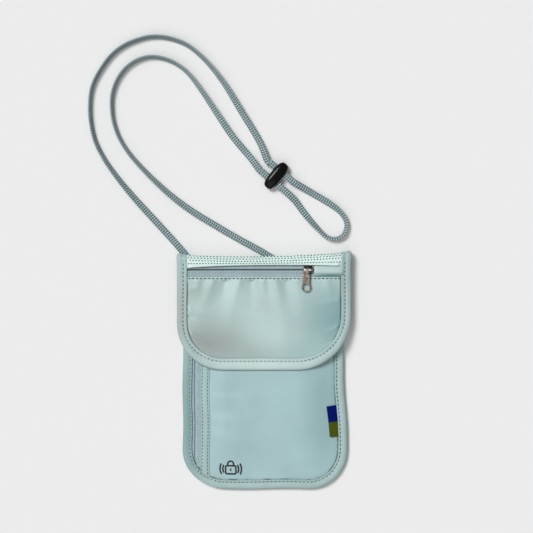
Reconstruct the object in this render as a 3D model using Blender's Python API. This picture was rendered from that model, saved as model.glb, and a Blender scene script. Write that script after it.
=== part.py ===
"""Neck pouch wallet: a flat fabric travel pouch with a zipped flap, a zipped front pocket and a neck cord.

The pouch lies on its back. X runs across it, Y from its bottom hem to its top fold, and Z up out of the
surface it lies on. The origin is the middle of the pouch's resting face. Lengths are in metres.
"""

import math

import bmesh
import bpy
from mathutils import Vector

MM = 0.001

# Driving dimensions of the pouch body
BODY_HALF_WIDTH = 68.5 * MM
BODY_BOTTOM = -98.5 * MM
BODY_CORNERS = (34.0 * MM, 34.0 * MM)   # left and right
MOUTH_Y = 72.0 * MM          # top edge of the front panel and the divider
SHEET_TOP = 93.7 * MM        # where the back panel and the flap meet the fold
GAP = 0.3 * MM               # clearance kept between neighbouring pieces

# Fabric and tape thicknesses
PANEL_THICK = 0.7 * MM
FLAP_THICK = 0.6 * MM
LINING_THICK = 0.2 * MM
DIVIDER_THICK = 0.3 * MM
TAPE_THICK = 0.3 * MM
BINDING_THICK = 0.5 * MM
BINDING_WIDTH = 6.9 * MM

# Heights of the layers, at the edge and where the pouch is full
BACK_TUCK = 0.8 * MM         # the back panel rises this much into its binding
LINING_LIFT = 1.0 * MM       # from the underside of the back panel to that of the lining
DIVIDER_EDGE = 2.4 * MM
POCKET_RISE = 3.1 * MM       # how far the divider rises over the main pocket
FRONT_EDGE = 3.2 * MM
FRONT_HEM_RISE = 1.5 * MM
FRONT_RISE = 3.2 * MM
CORD_LIFT = 2.1 * MM         # the back panel passes over the sewn-on cord tails
HEM_RUN = 12.0 * MM          # the layers rise from the hem over this distance

# Body trim
BODY_BINDING_TOP = 84.0 * MM  # the binding ends below the cord tails
FACING_X = (-52.6 * MM, -46.8 * MM)
FACING_THICK = 0.3 * MM
LABEL_X = (53.2 * MM, 60.9 * MM)
NAVY_ROWS = (-42.7 * MM, -36.0 * MM, -29.1 * MM)
OLIVE_ROWS = (-55.5 * MM, -49.0 * MM, -43.0 * MM)
LABEL_THICK = 0.4 * MM

# Loop patch on the front panel and hook patch on the flap
PATCH_Y = 16.0 * MM
PATCH_DIP = 1.1 * MM
PATCH_HALF = (25.0 * MM, 7.0 * MM)
LOOP_THICK = 0.5 * MM
HOOK_THICK = 0.3 * MM

# Flap
FLAP_HALF_WIDTH = 72.5 * MM
FLAP_BOTTOM = 1.0 * MM
FLAP_CORNERS = (39.0 * MM, 46.0 * MM)
FLAP_LINING_Z = 9.2 * MM
FLAP_FRONT_Z = 11.5 * MM
FLAP_DROOP_START = 62.0 * MM
FLAP_SIDE_DROOP = 2.5 * MM   # how far the outer fabric comes down at the sides
FLAP_LINING_DROOP = 1.6 * MM
FLAP_HEM_DROOP = 1.4 * MM
FLAP_WINDOW = (79.4 * MM, 89.1 * MM)
FOLD_RADIUS_Y = 4.5 * MM
FOLD_Z = (2.1 * MM, 12.1 * MM)

# Coil zippers, size 3
COIL_WIDTH = 1.5 * MM
COIL_SLIT = 1.0 * MM         # the slider's web runs between the two coils
COIL_HEIGHT = 1.1 * MM
SLIDER_LENGTH = 8.6 * MM
SLIDER_WIDTH = 7.3 * MM
PLATE_THICK = 0.6 * MM
STRAP_SIZE = 0.8 * MM
PULL_LENGTH = 18.5 * MM
PULL_WIDTH = 6.2 * MM
PULL_RING = 3.75 * MM
PULL_HOLE = 2.7 * MM

FLAP_ZIP_Y = 85.0 * MM
FLAP_COIL_Z = 10.7 * MM
FLAP_SLIDER_X = 36.7 * MM
FLAP_ZIP_ENDS = (-62.0 * MM, 62.0 * MM)
FLAP_TAPE_EDGES = (75.5 * MM, 92.5 * MM)
ZIP_COVER_LEFT = 41.6 * MM
ZIP_COVER_THICK = 0.5 * MM

SIDE_ZIP_X = -57.6 * MM
SIDE_COIL_Z = 3.8 * MM
SIDE_SLIDER_Y = 61.0 * MM
SIDE_ZIP_ENDS = (-76.0 * MM, 70.0 * MM)
SIDE_TAPE_EDGES = (-64.0 * MM, -49.0 * MM)
SIDE_TAPE_BOTTOMS = (-66.0 * MM, -72.0 * MM)   # left and right, clear of the binding's corner
FRONT_LEFT_X = -53.0 * MM

# Cord and its lock
CORD_RADIUS = 1.6 * MM
CORD_FLOOR = 1.65 * MM
CORD_POINTS = 80
TAIL_WIDTH = 6.3 * MM
TAIL_THICK = 1.6 * MM
LOCK_CENTRE = Vector((10.1 * MM, 164.1 * MM, 4.4 * MM))
LOCK_ANGLE = math.radians(50.4)
LOCK_LENGTH = 26.0 * MM
LOCK_WIDTH = 8.6 * MM
LOCK_HEIGHT = 8.7 * MM
LOCK_HOLE_OFFSET = 5.2 * MM
LOCK_HOLE_RADIUS = 2.25 * MM

# Colours as linear red, green and blue, with roughness and metallic value
FINISHES = {
    "panel_fabric": ((0.39, 0.54, 0.55), 0.55, 0.0),
    "flap_fabric": ((0.45, 0.59, 0.58), 0.5, 0.0),
    "light_fabric": ((0.56, 0.69, 0.66), 0.6, 0.0),
    "binding_tape": ((0.47, 0.59, 0.58), 0.7, 0.0),
    "lining_film": ((0.30, 0.33, 0.34), 0.5, 0.0),
    "zip_tape": ((0.30, 0.40, 0.46), 0.8, 0.0),
    "zip_coil": ((0.28, 0.38, 0.42), 0.45, 0.0),
    "zip_metal": ((0.22, 0.20, 0.19), 0.3, 1.0),
    "hook_and_loop": ((0.35, 0.45, 0.46), 0.9, 0.0),
    "label_navy": ((0.004, 0.010, 0.12), 0.7, 0.0),
    "label_olive": ((0.07, 0.09, 0.008), 0.7, 0.0),
    "cord_braid": ((0.20, 0.27, 0.28), 0.8, 0.0),
    "lock_plastic": ((0.01, 0.01, 0.012), 0.2, 0.0),
}


# ---------------------------------------------------------------- helpers

def clear_scene():
    """Remove whatever the file held before."""
    for thing in list(bpy.data.objects):
        bpy.data.objects.remove(thing, do_unlink=True)


def finish(name):
    """The named finish as a Principled material, made once."""
    found = bpy.data.materials.get(name)
    if found:
        return found
    colour, roughness, metallic = FINISHES[name]
    made = bpy.data.materials.new(name)
    made.use_nodes = True
    shader = made.node_tree.nodes["Principled BSDF"]
    shader.inputs["Base Color"].default_value = (*colour, 1.0)
    shader.inputs["Roughness"].default_value = roughness
    shader.inputs["Metallic"].default_value = metallic
    made.diffuse_color = (*colour, 1.0)
    return made


def piece(name, mesh_data, finish_name, parent=None, smooth=False):
    """Link a mesh as one named piece; mesh_data is a Blender mesh already in world coordinates."""
    made = bpy.data.objects.new(name, mesh_data)
    bpy.context.collection.objects.link(made)
    if finish_name:
        mesh_data.materials.append(finish(finish_name))
    if smooth:
        mesh_data.shade_smooth()
        mesh_data.set_sharp_from_angle(angle=math.radians(35))
    if parent:
        made.parent = parent
        made.matrix_parent_inverse = parent.matrix_world.inverted()
    return made


def pivot(name, place, parent=None):
    """An empty on a joint's axis, which its moving pieces are parented to."""
    made = bpy.data.objects.new(name, None)
    bpy.context.collection.objects.link(made)
    made.empty_display_size = 0.01
    made.location = place
    if parent:
        made.parent = parent
        made.location = Vector(place) - parent.matrix_world.translation
    bpy.context.view_layer.update()
    return made


def mesh_of(vertices, faces):
    """A mesh with its faces turned to point outwards."""
    made = bpy.data.meshes.new("piece")
    made.from_pydata(vertices, [], faces)
    work = bmesh.new()
    work.from_mesh(made)
    bmesh.ops.recalc_face_normals(work, faces=work.faces)
    work.to_mesh(made)
    work.free()
    return made


def ease(value):
    """Smooth step from 0 to 1 as value goes from 0 to 1."""
    t = min(max(value, 0.0), 1.0)
    return t * t * (3.0 - 2.0 * t)


def edge_distance(x, y, half, bottom, corners):
    """Distance inwards from a U-shaped edge: two straight sides, a straight hem and two round corners."""
    across = abs(x)
    corner = corners[x > 0.0]
    if y >= bottom + corner:
        return half - across
    if across <= half - corner:
        return y - bottom
    return corner - math.hypot(across - (half - corner), y - (bottom + corner))


def reach_at(y, half, bottom, corner):
    """How far one side of the U is from its middle at height y."""
    drop = bottom + corner - y
    if drop <= 0.0:
        return half
    return half - corner + math.sqrt(max(corner * corner - drop * drop, 0.0))


def outline_side(half, bottom, corners, inset):
    """A function that gives the left and right x of a U-shaped outline at a height, drawn in by inset."""
    def side(y):
        left, right = (reach_at(y, half - inset, bottom + inset, corner - inset) for corner in corners)
        return -left, right
    return side


def corner_rows(bottom, corner, count):
    """Heights that split a round corner into equal angles, from the hem upwards."""
    return [bottom + corner * (1.0 - math.cos(math.pi / 2 * k / count)) for k in range(count + 1)]


def sheet(name, finish_name, rows, columns, side, underside, thickness, parent=None):
    """A thin panel. side(y) gives its left and right x, columns run from -1 to 1 between them, and
    underside(x, y) gives the height of its lower face."""
    across, along = len(columns), len(rows)
    vertices = []
    for raise_by in (0.0, thickness):
        for y in rows:
            left, right = side(y)
            for c in columns:
                x = left + (right - left) * (c + 1.0) / 2.0
                vertices.append((x, y, underside(x, y) + raise_by))
    top = across * along
    faces = []
    for j in range(along - 1):
        for i in range(across - 1):
            a = j * across + i
            b, c, d = a + 1, a + across + 1, a + across
            faces.append((a, d, c, b))
            faces.append((top + a, top + b, top + c, top + d))
    border = [i for i in range(across)]
    border += [j * across + across - 1 for j in range(1, along)]
    border += [(along - 1) * across + i for i in range(across - 2, -1, -1)]
    border += [j * across for j in range(along - 2, 0, -1)]
    for k, a in enumerate(border):
        b = border[(k + 1) % len(border)]
        faces.append((a, b, top + b, top + a))
    return piece(name, mesh_of(vertices, faces), finish_name, parent, smooth=True)


def u_stations(half, bottom, corners, top, steps):
    """Points and inward directions along a U, from its left top round the hem to its right top."""
    halves = []
    for sign, corner in zip((1.0, -1.0), corners):
        middle = (top + bottom + corner) / 2
        stations = [((-sign * half, top), (sign, 0.0)), ((-sign * half, middle), (sign, 0.0))]
        for k in range(steps + 1):
            turn = math.pi / 2 * k / steps
            across, up = sign * math.cos(turn), math.sin(turn)
            centre = (sign * (corner - half), bottom + corner)
            stations.append(((centre[0] - corner * across, centre[1] - corner * up), (across, up)))
        halves.append(stations)
    return halves[0] + halves[1][::-1]


def u_band(name, finish_name, stations, section, parent=None):
    """A binding carried along a U. section lists (distance inwards, height at x and y) round its outline."""
    vertices = []
    for (px, py), (nx, ny) in stations:
        for inwards, height in section:
            x, y = px + nx * inwards, py + ny * inwards
            vertices.append((x, y, height(x, y)))
    ring = len(section)
    faces = []
    for s in range(len(stations) - 1):
        for k in range(ring):
            a, b = s * ring + k, s * ring + (k + 1) % ring
            faces.append((a, b, b + ring, a + ring))
    faces.append(tuple(range(ring)))
    last = (len(stations) - 1) * ring
    faces.append(tuple(last + k for k in range(ring)))
    return piece(name, mesh_of(vertices, faces), finish_name, parent)


def slab(low, high):
    """A plain block between two corners."""
    (x0, y0, z0), (x1, y1, z1) = low, high
    vertices = [(x, y, z) for z in (z0, z1) for x, y in ((x0, y0), (x1, y0), (x1, y1), (x0, y1))]
    faces = [(0, 3, 2, 1), (4, 5, 6, 7), (0, 1, 5, 4), (1, 2, 6, 5), (2, 3, 7, 6), (3, 0, 4, 7)]
    return mesh_of(vertices, faces)


def prism(outline, low, high, axis):
    """An outline of (u, v) points carried along an axis: 'x' takes (y, z), 'y' takes (x, z), 'z' (x, y)."""
    place = {"x": lambda u, v, w: (w, u, v), "y": lambda u, v, w: (u, w, v), "z": lambda u, v, w: (u, v, w)}
    count = len(outline)
    vertices = [place[axis](u, v, w) for w in (low, high) for u, v in outline]
    faces = [tuple(range(count)), tuple(range(count, 2 * count))]
    faces += [(k, (k + 1) % count, (k + 1) % count + count, k + count) for k in range(count)]
    return mesh_of(vertices, faces)


def disc_outline(centre, radius, count=24, start=0.0, sweep=2.0 * math.pi):
    """Points round a circle, or round part of one when sweep is less than a full turn."""
    closed = abs(sweep - 2.0 * math.pi) < 1e-9
    steps = count if closed else count - 1
    turns = [start + sweep * k / steps for k in range(count)]
    return [(centre[0] + radius * math.cos(t), centre[1] + radius * math.sin(t)) for t in turns]


def combine(target, tool_mesh, operation):
    """Cut tool_mesh from target, or join it on, with a Boolean whose tool is left out of the model."""
    tool = bpy.data.objects.new("tool_" + target.name, tool_mesh)
    bpy.context.collection.objects.link(tool)
    tool.hide_render = True
    tool.display_type = "WIRE"
    step = target.modifiers.new(operation.lower(), "BOOLEAN")
    step.operation = operation
    step.solver = "EXACT"
    step.object = tool
    if target.parent:
        tool.parent = target.parent
        tool.matrix_parent_inverse = target.parent.matrix_world.inverted()


# ---------------------------------------------------------------- layer heights

def body_distance(x, y):
    """Distance inwards from the pouch body's edge."""
    return edge_distance(x, y, BODY_HALF_WIDTH, BODY_BOTTOM, BODY_CORNERS)


def fill_start(x):
    """Where the pouch starts to swell: further in at the left, to leave the side zip flat."""
    return (14.0 - 8.0 * ease((x + 20.0 * MM) / (40.0 * MM))) * MM


def back_height(x, y):
    """Underside of the back panel: flat, tucked up into its binding, and lifted over the cord tails."""
    tuck = BACK_TUCK * (1.0 - ease((body_distance(x, y) - BINDING_WIDTH - GAP) / (6.0 * MM)))
    return tuck + CORD_LIFT * ease((y - MOUTH_Y) / (12.0 * MM))


def lining_height(x, y):
    """Underside of the foil lining."""
    return back_height(x, y) + LINING_LIFT


def divider_height(x, y):
    """Underside of the divider, which is the front wall of the main pocket."""
    return DIVIDER_EDGE + POCKET_RISE * ease((body_distance(x, y) - fill_start(x)) / HEM_RUN)


def patch_dip(x, y):
    """How far the front panel is pressed in under the loop patch."""
    clear, run = 2.0 * MM, 8.0 * MM
    beside = ease((abs(x) - PATCH_HALF[0] - clear) / run)
    above = ease((abs(y - PATCH_Y) - PATCH_HALF[1] - clear) / run)
    return PATCH_DIP * (1.0 - beside) * (1.0 - above)


def front_height(x, y):
    """Underside of the front panel."""
    inwards = body_distance(x, y)
    hem = FRONT_HEM_RISE * ease(inwards / HEM_RUN)
    swell = FRONT_RISE * ease((inwards - fill_start(x) - 3.0 * MM) / (11.0 * MM))
    return FRONT_EDGE + hem + swell - patch_dip(x, y)


def hem_top(x, y):
    """Top of whatever lies at the edge of the pouch body, under its binding."""
    return FRONT_EDGE + FRONT_HEM_RISE * ease(body_distance(x, y) / HEM_RUN) + PANEL_THICK


def flap_droop(x):
    """How far down the flap's sides have come, from 0 to 1."""
    return ease((abs(x) - FLAP_DROOP_START) / (FLAP_HALF_WIDTH - FLAP_DROOP_START))


def flap_lining_height(x, y):
    """Underside of the flap's lining."""
    return FLAP_LINING_Z - FLAP_LINING_DROOP * flap_droop(x)


def flap_front_height(x, y):
    """Underside of the flap's outer fabric, which comes down to the lining at the sides and the hem."""
    hem = FLAP_HEM_DROOP * (1.0 - ease((y - FLAP_BOTTOM) / (14.0 * MM)))
    return FLAP_FRONT_Z - max(hem, FLAP_SIDE_DROOP * flap_droop(x))


# ---------------------------------------------------------------- pouch body

def body_side(inset):
    """The body's outline, drawn in by inset."""
    return outline_side(BODY_HALF_WIDTH, BODY_BOTTOM, BODY_CORNERS, inset)


def body_rows(inset, top, between):
    """Rows for a body panel: equal angles round the corners, then the heights in between, then its top."""
    return corner_rows(BODY_BOTTOM + inset, BODY_CORNERS[0] - inset, 7) + between + [top]


def column_set(distances, half):
    """Columns from -1 to 1, mirrored, at the given distances in from the edge, and one in the middle."""
    left = [-1.0 + d / half for d in distances]
    return left + [0.0] + [-c for c in reversed(left)]


def back_rows(inset):
    """Rows for the back: along the hem they follow its tuck, and near the top the lift over the cord."""
    corner = corner_rows(BODY_BOTTOM + inset, BODY_CORNERS[0] - inset, 7)
    hem = [BODY_BOTTOM + d * MM for d in (7.2, 8.7, 10.2, 11.7, 13.2)]
    rows = sorted(corner + hem)
    spaced = [rows[0]]
    for y in rows[1:]:
        if y - spaced[-1] > 0.4 * MM:
            spaced.append(y)
    return spaced + [MOUTH_Y + d * MM for d in (0.0, 3.0, 6.0, 9.0, 12.0)] + [SHEET_TOP]


def build_back():
    """Back panel and the foil lining that blocks card readers."""
    inset = 1.0 * MM
    steps = [d * MM - inset for d in (1.0, 7.2, 8.7, 10.2, 11.7, 13.2)]
    columns = column_set(steps, BODY_HALF_WIDTH - inset)
    rows = back_rows(inset)
    sheet("back_panel", "panel_fabric", rows, columns, body_side(inset), back_height, PANEL_THICK)
    sheet("rfid_lining", "lining_film", rows, columns, body_side(inset), lining_height, LINING_THICK)


def build_divider():
    """Wall between the main pocket and the zipped front pocket."""
    inset = 1.2 * MM
    steps = [d * MM for d in (0.0, 5.0, 9.0, 13.0, 17.0, 21.0, 25.0, 40.0)]
    columns = column_set(steps, BODY_HALF_WIDTH - inset)
    rows = body_rows(inset, MOUTH_Y, [])
    sheet("pocket_divider", "panel_fabric", rows, columns, body_side(inset), divider_height, DIVIDER_THICK)


def build_front():
    """Front panel, which starts at the right of the side zip, and the facing strip along that edge."""
    inset = 1.2 * MM
    whole = body_side(inset)

    def side(y):
        left, right = whole(y)
        return max(left, FRONT_LEFT_X), right

    width = BODY_HALF_WIDTH - inset - FRONT_LEFT_X
    places = [0.0, 3.5, 7.0, 11.0, 16.0, 22.0, 26.0, 36.0, 53.0, 70.0, 80.0, 84.0, 92.0, 96.5]
    places += [100.5, 104.5, 108.5, 112.5, 116.5]
    columns = [2.0 * p * MM / width - 1.0 for p in places] + [1.0]
    patch_rows = [PATCH_Y + step * MM for step in (-17.0, -13.0, -9.0, 9.0, 13.0, 17.0)]
    rows = body_rows(inset, MOUTH_Y, [-40.0 * MM] + patch_rows)
    sheet("front_panel", "panel_fabric", rows, columns, side, front_height, PANEL_THICK)

    facing_rows = [BODY_BOTTOM + BODY_CORNERS[0], MOUTH_Y]
    sheet("side_zip_facing", "light_fabric", facing_rows, [-1.0, 0.07, 1.0],
          lambda y: FACING_X,
          lambda x, y: front_height(x, y) + PANEL_THICK + GAP, FACING_THICK)


def build_side_zip():
    """Tapes and coils of the zip that runs down the left of the front."""
    tape_z = SIDE_COIL_Z + GAP
    coil_out = COIL_SLIT / 2 + COIL_WIDTH
    bottom, top = SIDE_ZIP_ENDS
    left_edge = SIDE_ZIP_X - coil_out - GAP
    right_edge = SIDE_ZIP_X + coil_out + GAP
    left_low, right_low = SIDE_TAPE_BOTTOMS
    outer_left, outer_right = SIDE_TAPE_EDGES
    left_tape = slab((outer_left, left_low, tape_z), (left_edge, top, tape_z + TAPE_THICK))
    right_tape = slab((right_edge, right_low, tape_z), (outer_right, top, tape_z + TAPE_THICK))
    piece("side_zip_tape_left", left_tape, "zip_tape")
    piece("side_zip_tape_right", right_tape, "zip_tape")
    for label, sign in (("left", -1.0), ("right", 1.0)):
        inner = SIDE_ZIP_X + sign * COIL_SLIT / 2
        outer = SIDE_ZIP_X + sign * coil_out
        low, high = min(inner, outer), max(inner, outer)
        coil = slab((low, bottom, SIDE_COIL_Z), (high, top, SIDE_COIL_Z + COIL_HEIGHT))
        piece("side_zip_coil_" + label, coil, "zip_coil")


def build_body_binding():
    """Folded tape that closes the sides and the hem of the body."""
    clear = 0.4 * MM
    section = [
        (0.0, lambda x, y: 0.0),
        (BINDING_WIDTH, lambda x, y: 0.0),
        (BINDING_WIDTH, lambda x, y: BINDING_THICK - 0.1 * MM),
        (2.5 * MM, lambda x, y: BINDING_THICK - 0.1 * MM),
        (0.6 * MM, lambda x, y: BINDING_THICK - 0.1 * MM),
        (0.6 * MM, lambda x, y: hem_top(x, y) + clear),
        (2.5 * MM, lambda x, y: hem_top(x, y) + clear),
        (4.8 * MM, lambda x, y: hem_top(x, y) + clear),
        (BINDING_WIDTH, lambda x, y: hem_top(x, y) + clear),
        (BINDING_WIDTH, lambda x, y: hem_top(x, y) + clear + BINDING_THICK),
        (4.8 * MM, lambda x, y: hem_top(x, y) + clear + BINDING_THICK),
        (2.5 * MM, lambda x, y: hem_top(x, y) + clear + BINDING_THICK),
        (0.0, lambda x, y: FRONT_EDGE + PANEL_THICK + clear + 0.3 * MM),
    ]
    stations = u_stations(BODY_HALF_WIDTH, BODY_BOTTOM, BODY_CORNERS, BODY_BINDING_TOP, 9)
    u_band("body_binding", "binding_tape", stations, section)


def build_trim():
    """The two-colour side label and the loop patch."""
    lift = PANEL_THICK + GAP
    label_columns = [-1.0, -0.4, 0.3, 1.0]

    def on_front(x, y):
        return front_height(x, y) + lift

    def label_side(y):
        return LABEL_X

    sheet("tab_label_navy", "label_navy", list(NAVY_ROWS), label_columns, label_side, on_front, LABEL_THICK)
    sheet("tab_label_olive", "label_olive", list(OLIVE_ROWS), label_columns, label_side, on_front, LABEL_THICK)
    half_x, half_y = PATCH_HALF
    patch_z = FRONT_EDGE + FRONT_HEM_RISE + FRONT_RISE - PATCH_DIP + lift
    loop = slab((-half_x, PATCH_Y - half_y, patch_z), (half_x, PATCH_Y + half_y, patch_z + LOOP_THICK))
    piece("loop_patch", loop, "hook_and_loop")


# ---------------------------------------------------------------- flap

def flap_side(inset):
    """The flap's outline, drawn in by inset."""
    return outline_side(FLAP_HALF_WIDTH, FLAP_BOTTOM, FLAP_CORNERS, inset)


def build_flap(hinge):
    """Lining, outer fabric in two pieces either side of the zip, binding and hook patch."""
    inset = 1.2 * MM
    columns = column_set([0.0, 3.0 * MM, 6.0 * MM, 9.3 * MM], FLAP_HALF_WIDTH - inset)
    lower_rows = corner_rows(FLAP_BOTTOM + inset, FLAP_CORNERS[1] - inset, 8)
    window_low, window_high = FLAP_WINDOW
    sheet("flap_lining", "panel_fabric", lower_rows + [SHEET_TOP], columns, flap_side(inset),
          flap_lining_height, 0.3 * MM, hinge)
    sheet("flap_lower_panel", "flap_fabric", lower_rows + [window_low], columns, flap_side(inset),
          flap_front_height, FLAP_THICK, hinge)
    sheet("flap_top_band", "light_fabric", [window_high, SHEET_TOP], columns, flap_side(inset),
          flap_front_height, FLAP_THICK, hinge)

    clear = GAP + 0.1 * MM
    section = [
        (0.0, lambda x, y: flap_lining_height(x, y) - GAP),
        (0.8 * MM, lambda x, y: flap_lining_height(x, y) - GAP),
        (0.8 * MM, lambda x, y: flap_front_height(x, y) + FLAP_THICK + clear),
        (4.2 * MM, lambda x, y: flap_front_height(x, y) + FLAP_THICK + clear),
        (BINDING_WIDTH, lambda x, y: flap_front_height(x, y) + FLAP_THICK + clear),
        (BINDING_WIDTH, lambda x, y: flap_front_height(x, y) + FLAP_THICK + clear + BINDING_THICK),
        (4.2 * MM, lambda x, y: flap_front_height(x, y) + FLAP_THICK + clear + BINDING_THICK),
        (0.0, lambda x, y: flap_front_height(x, y) + FLAP_THICK + clear + 0.3 * MM),
    ]
    stations = u_stations(FLAP_HALF_WIDTH, FLAP_BOTTOM, FLAP_CORNERS, SHEET_TOP, 9)
    u_band("flap_binding", "binding_tape", stations, section, hinge)

    half_x, half_y = PATCH_HALF
    hook_z = FLAP_LINING_Z - GAP - HOOK_THICK
    hook = slab((-half_x, PATCH_Y - half_y, hook_z), (half_x, PATCH_Y + half_y, hook_z + HOOK_THICK))
    piece("hook_patch", hook, "hook_and_loop", hinge)


def build_flap_zip(hinge):
    """Tapes and coils across the flap, and the fabric that covers the end of the zip."""
    left, right = FLAP_ZIP_ENDS
    tape_z = FLAP_COIL_Z + GAP
    coil_out = COIL_SLIT / 2 + COIL_WIDTH
    tape_low, tape_high = FLAP_TAPE_EDGES
    upper = slab((left, FLAP_ZIP_Y + coil_out + GAP, tape_z), (right, tape_high, tape_z + TAPE_THICK))
    lower = slab((left, tape_low, tape_z), (right, FLAP_ZIP_Y - coil_out - GAP, tape_z + TAPE_THICK))
    piece("flap_zip_tape_upper", upper, "zip_tape", hinge)
    piece("flap_zip_tape_lower", lower, "zip_tape", hinge)
    for label, sign in (("upper", 1.0), ("lower", -1.0)):
        inner = FLAP_ZIP_Y + sign * COIL_SLIT / 2
        outer = FLAP_ZIP_Y + sign * coil_out
        low, high = min(inner, outer), max(inner, outer)
        coil = slab((left, low, FLAP_COIL_Z), (right, high, FLAP_COIL_Z + COIL_HEIGHT))
        piece("flap_zip_coil_" + label, coil, "zip_coil", hinge)
    window_low, window_high = FLAP_WINDOW
    cover_z = FLAP_COIL_Z + COIL_HEIGHT + GAP
    inset = 0.4 * MM
    cover = slab((ZIP_COVER_LEFT, window_low + inset, cover_z),
                 (right, window_high - inset, cover_z + ZIP_COVER_THICK))
    piece("flap_zip_garage", cover, "flap_fabric", hinge)


def build_fold():
    """Fabric that turns over the top edge, from the back panel round to the flap."""
    half = FLAP_HALF_WIDTH - 0.3 * MM
    middle = (FOLD_Z[0] + FOLD_Z[1]) / 2
    reach = (FOLD_Z[1] - FOLD_Z[0]) / 2
    outer, inner = [], []
    start = SHEET_TOP + GAP
    for k in range(13):
        turn = math.pi * (k / 12 - 0.5)
        outer.append((start + FOLD_RADIUS_Y * math.cos(turn), middle + reach * math.sin(turn)))
        inner.append((start + (FOLD_RADIUS_Y - FLAP_THICK) * math.cos(turn),
                      middle + (reach - FLAP_THICK) * math.sin(turn)))
    outline = outer + inner[::-1]
    vertices = [(x, y, z) for x in (-half, half) for y, z in outline]
    count = len(outline)
    faces = [(k, (k + 1) % count, (k + 1) % count + count, k + count) for k in range(count)]
    for k in range(12):
        a, b, c, d = k, k + 1, count - 2 - k, count - 1 - k
        faces.append((a, b, c, d))
        faces.append((a + count, b + count, c + count, d + count))
    piece("flap_fold", mesh_of(vertices, faces), "binding_tape", smooth=True)


# ---------------------------------------------------------------- zip sliders and pulls

def slider_mesh(centre, coil_z, along):
    """Two plates joined by the web that runs between the coils. along is 'x' or 'y', the way the zip runs."""
    middle = centre[1] if along == "x" else centre[0]
    run = centre[0] if along == "x" else centre[1]
    half, web = SLIDER_WIDTH / 2, 0.2 * MM
    low = coil_z - GAP
    high = coil_z + COIL_HEIGHT + GAP
    trim = 0.2 * MM
    right = [(half - trim, low - PLATE_THICK), (half, low - PLATE_THICK + trim), (half, low), (web, low),
             (web, high), (half, high), (half, high + PLATE_THICK - trim), (half - trim, high + PLATE_THICK)]
    outline = [(middle + u, v) for u, v in right] + [(middle - u, v) for u, v in reversed(right)]
    return prism(outline, run - SLIDER_LENGTH / 2, run + SLIDER_LENGTH / 2, along)


def slider_top(coil_z):
    """Height of the upper face of the slider's upper plate."""
    return coil_z + COIL_HEIGHT + GAP + PLATE_THICK


def arch(low_u, high_u, base, strap_low, leg):
    """Outline of a staple-shaped bridge standing on base: its strap's underside is at strap_low."""
    sunk = base - 0.3 * MM
    strap_high = strap_low + STRAP_SIZE
    bevel = 0.35 * MM
    return [(low_u, sunk), (low_u + leg, sunk), (low_u + leg, strap_low), (high_u - leg, strap_low),
            (high_u - leg, sunk), (high_u, sunk), (high_u, strap_high - bevel), (high_u - bevel, strap_high),
            (low_u + bevel, strap_high), (low_u, strap_high - bevel)]


def build_flap_slider(hinge):
    """Slider on the flap's zip, and its pull, which swings on the bridge."""
    centre = (FLAP_SLIDER_X, FLAP_ZIP_Y)
    top = slider_top(FLAP_COIL_Z)
    knuckle_outer, knuckle_inner = 1.35 * MM, 0.9 * MM
    axis_z = top + GAP + knuckle_outer
    runner = pivot("flap_slider_pivot", (*centre, FLAP_COIL_Z), hinge)
    slider = piece("flap_zip_slider", slider_mesh(centre, FLAP_COIL_Z, "x"), "zip_metal", runner)
    bridge = arch(centre[0] - 3.6 * MM, centre[0] + 3.6 * MM, top, axis_z - STRAP_SIZE / 2, 1.0 * MM)
    half_strap = STRAP_SIZE / 2
    combine(slider, prism(bridge, centre[1] - half_strap, centre[1] + half_strap, "y"), "UNION")

    swing = pivot("flap_pull_pivot", (*centre, axis_z), runner)
    half_knuckle = 2.1 * MM
    knuckle = disc_outline((centre[1], axis_z), knuckle_outer, 20)
    pull = piece("flap_zip_pull", prism(knuckle, centre[0] - half_knuckle, centre[0] + half_knuckle, "x"),
                 "zip_metal", swing, smooth=True)
    thick = 0.8 * MM
    ring_y = centre[1] - PULL_LENGTH + PULL_RING
    neck_y = centre[1] - 1.1 * MM
    shoulder_y = centre[1] - 3.4 * MM
    half = PULL_WIDTH / 2
    outline = [(centre[0] - half_knuckle, neck_y), (centre[0] - half, shoulder_y)]
    outline += disc_outline((centre[0], ring_y), PULL_RING, 17, math.pi * 0.86, math.pi * 1.28)
    outline += [(centre[0] + half, shoulder_y), (centre[0] + half_knuckle, neck_y)]
    combine(pull, prism(outline, axis_z - thick / 2, axis_z + thick / 2, "z"), "UNION")
    combine(pull, prism(disc_outline((centre[1], axis_z), knuckle_inner, 16),
                        centre[0] - 4.0 * MM, centre[0] + 4.0 * MM, "x"), "DIFFERENCE")
    combine(pull, prism(disc_outline((centre[0], ring_y), PULL_HOLE, 20),
                        axis_z - 2.0 * MM, axis_z + 2.0 * MM, "z"), "DIFFERENCE")


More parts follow.
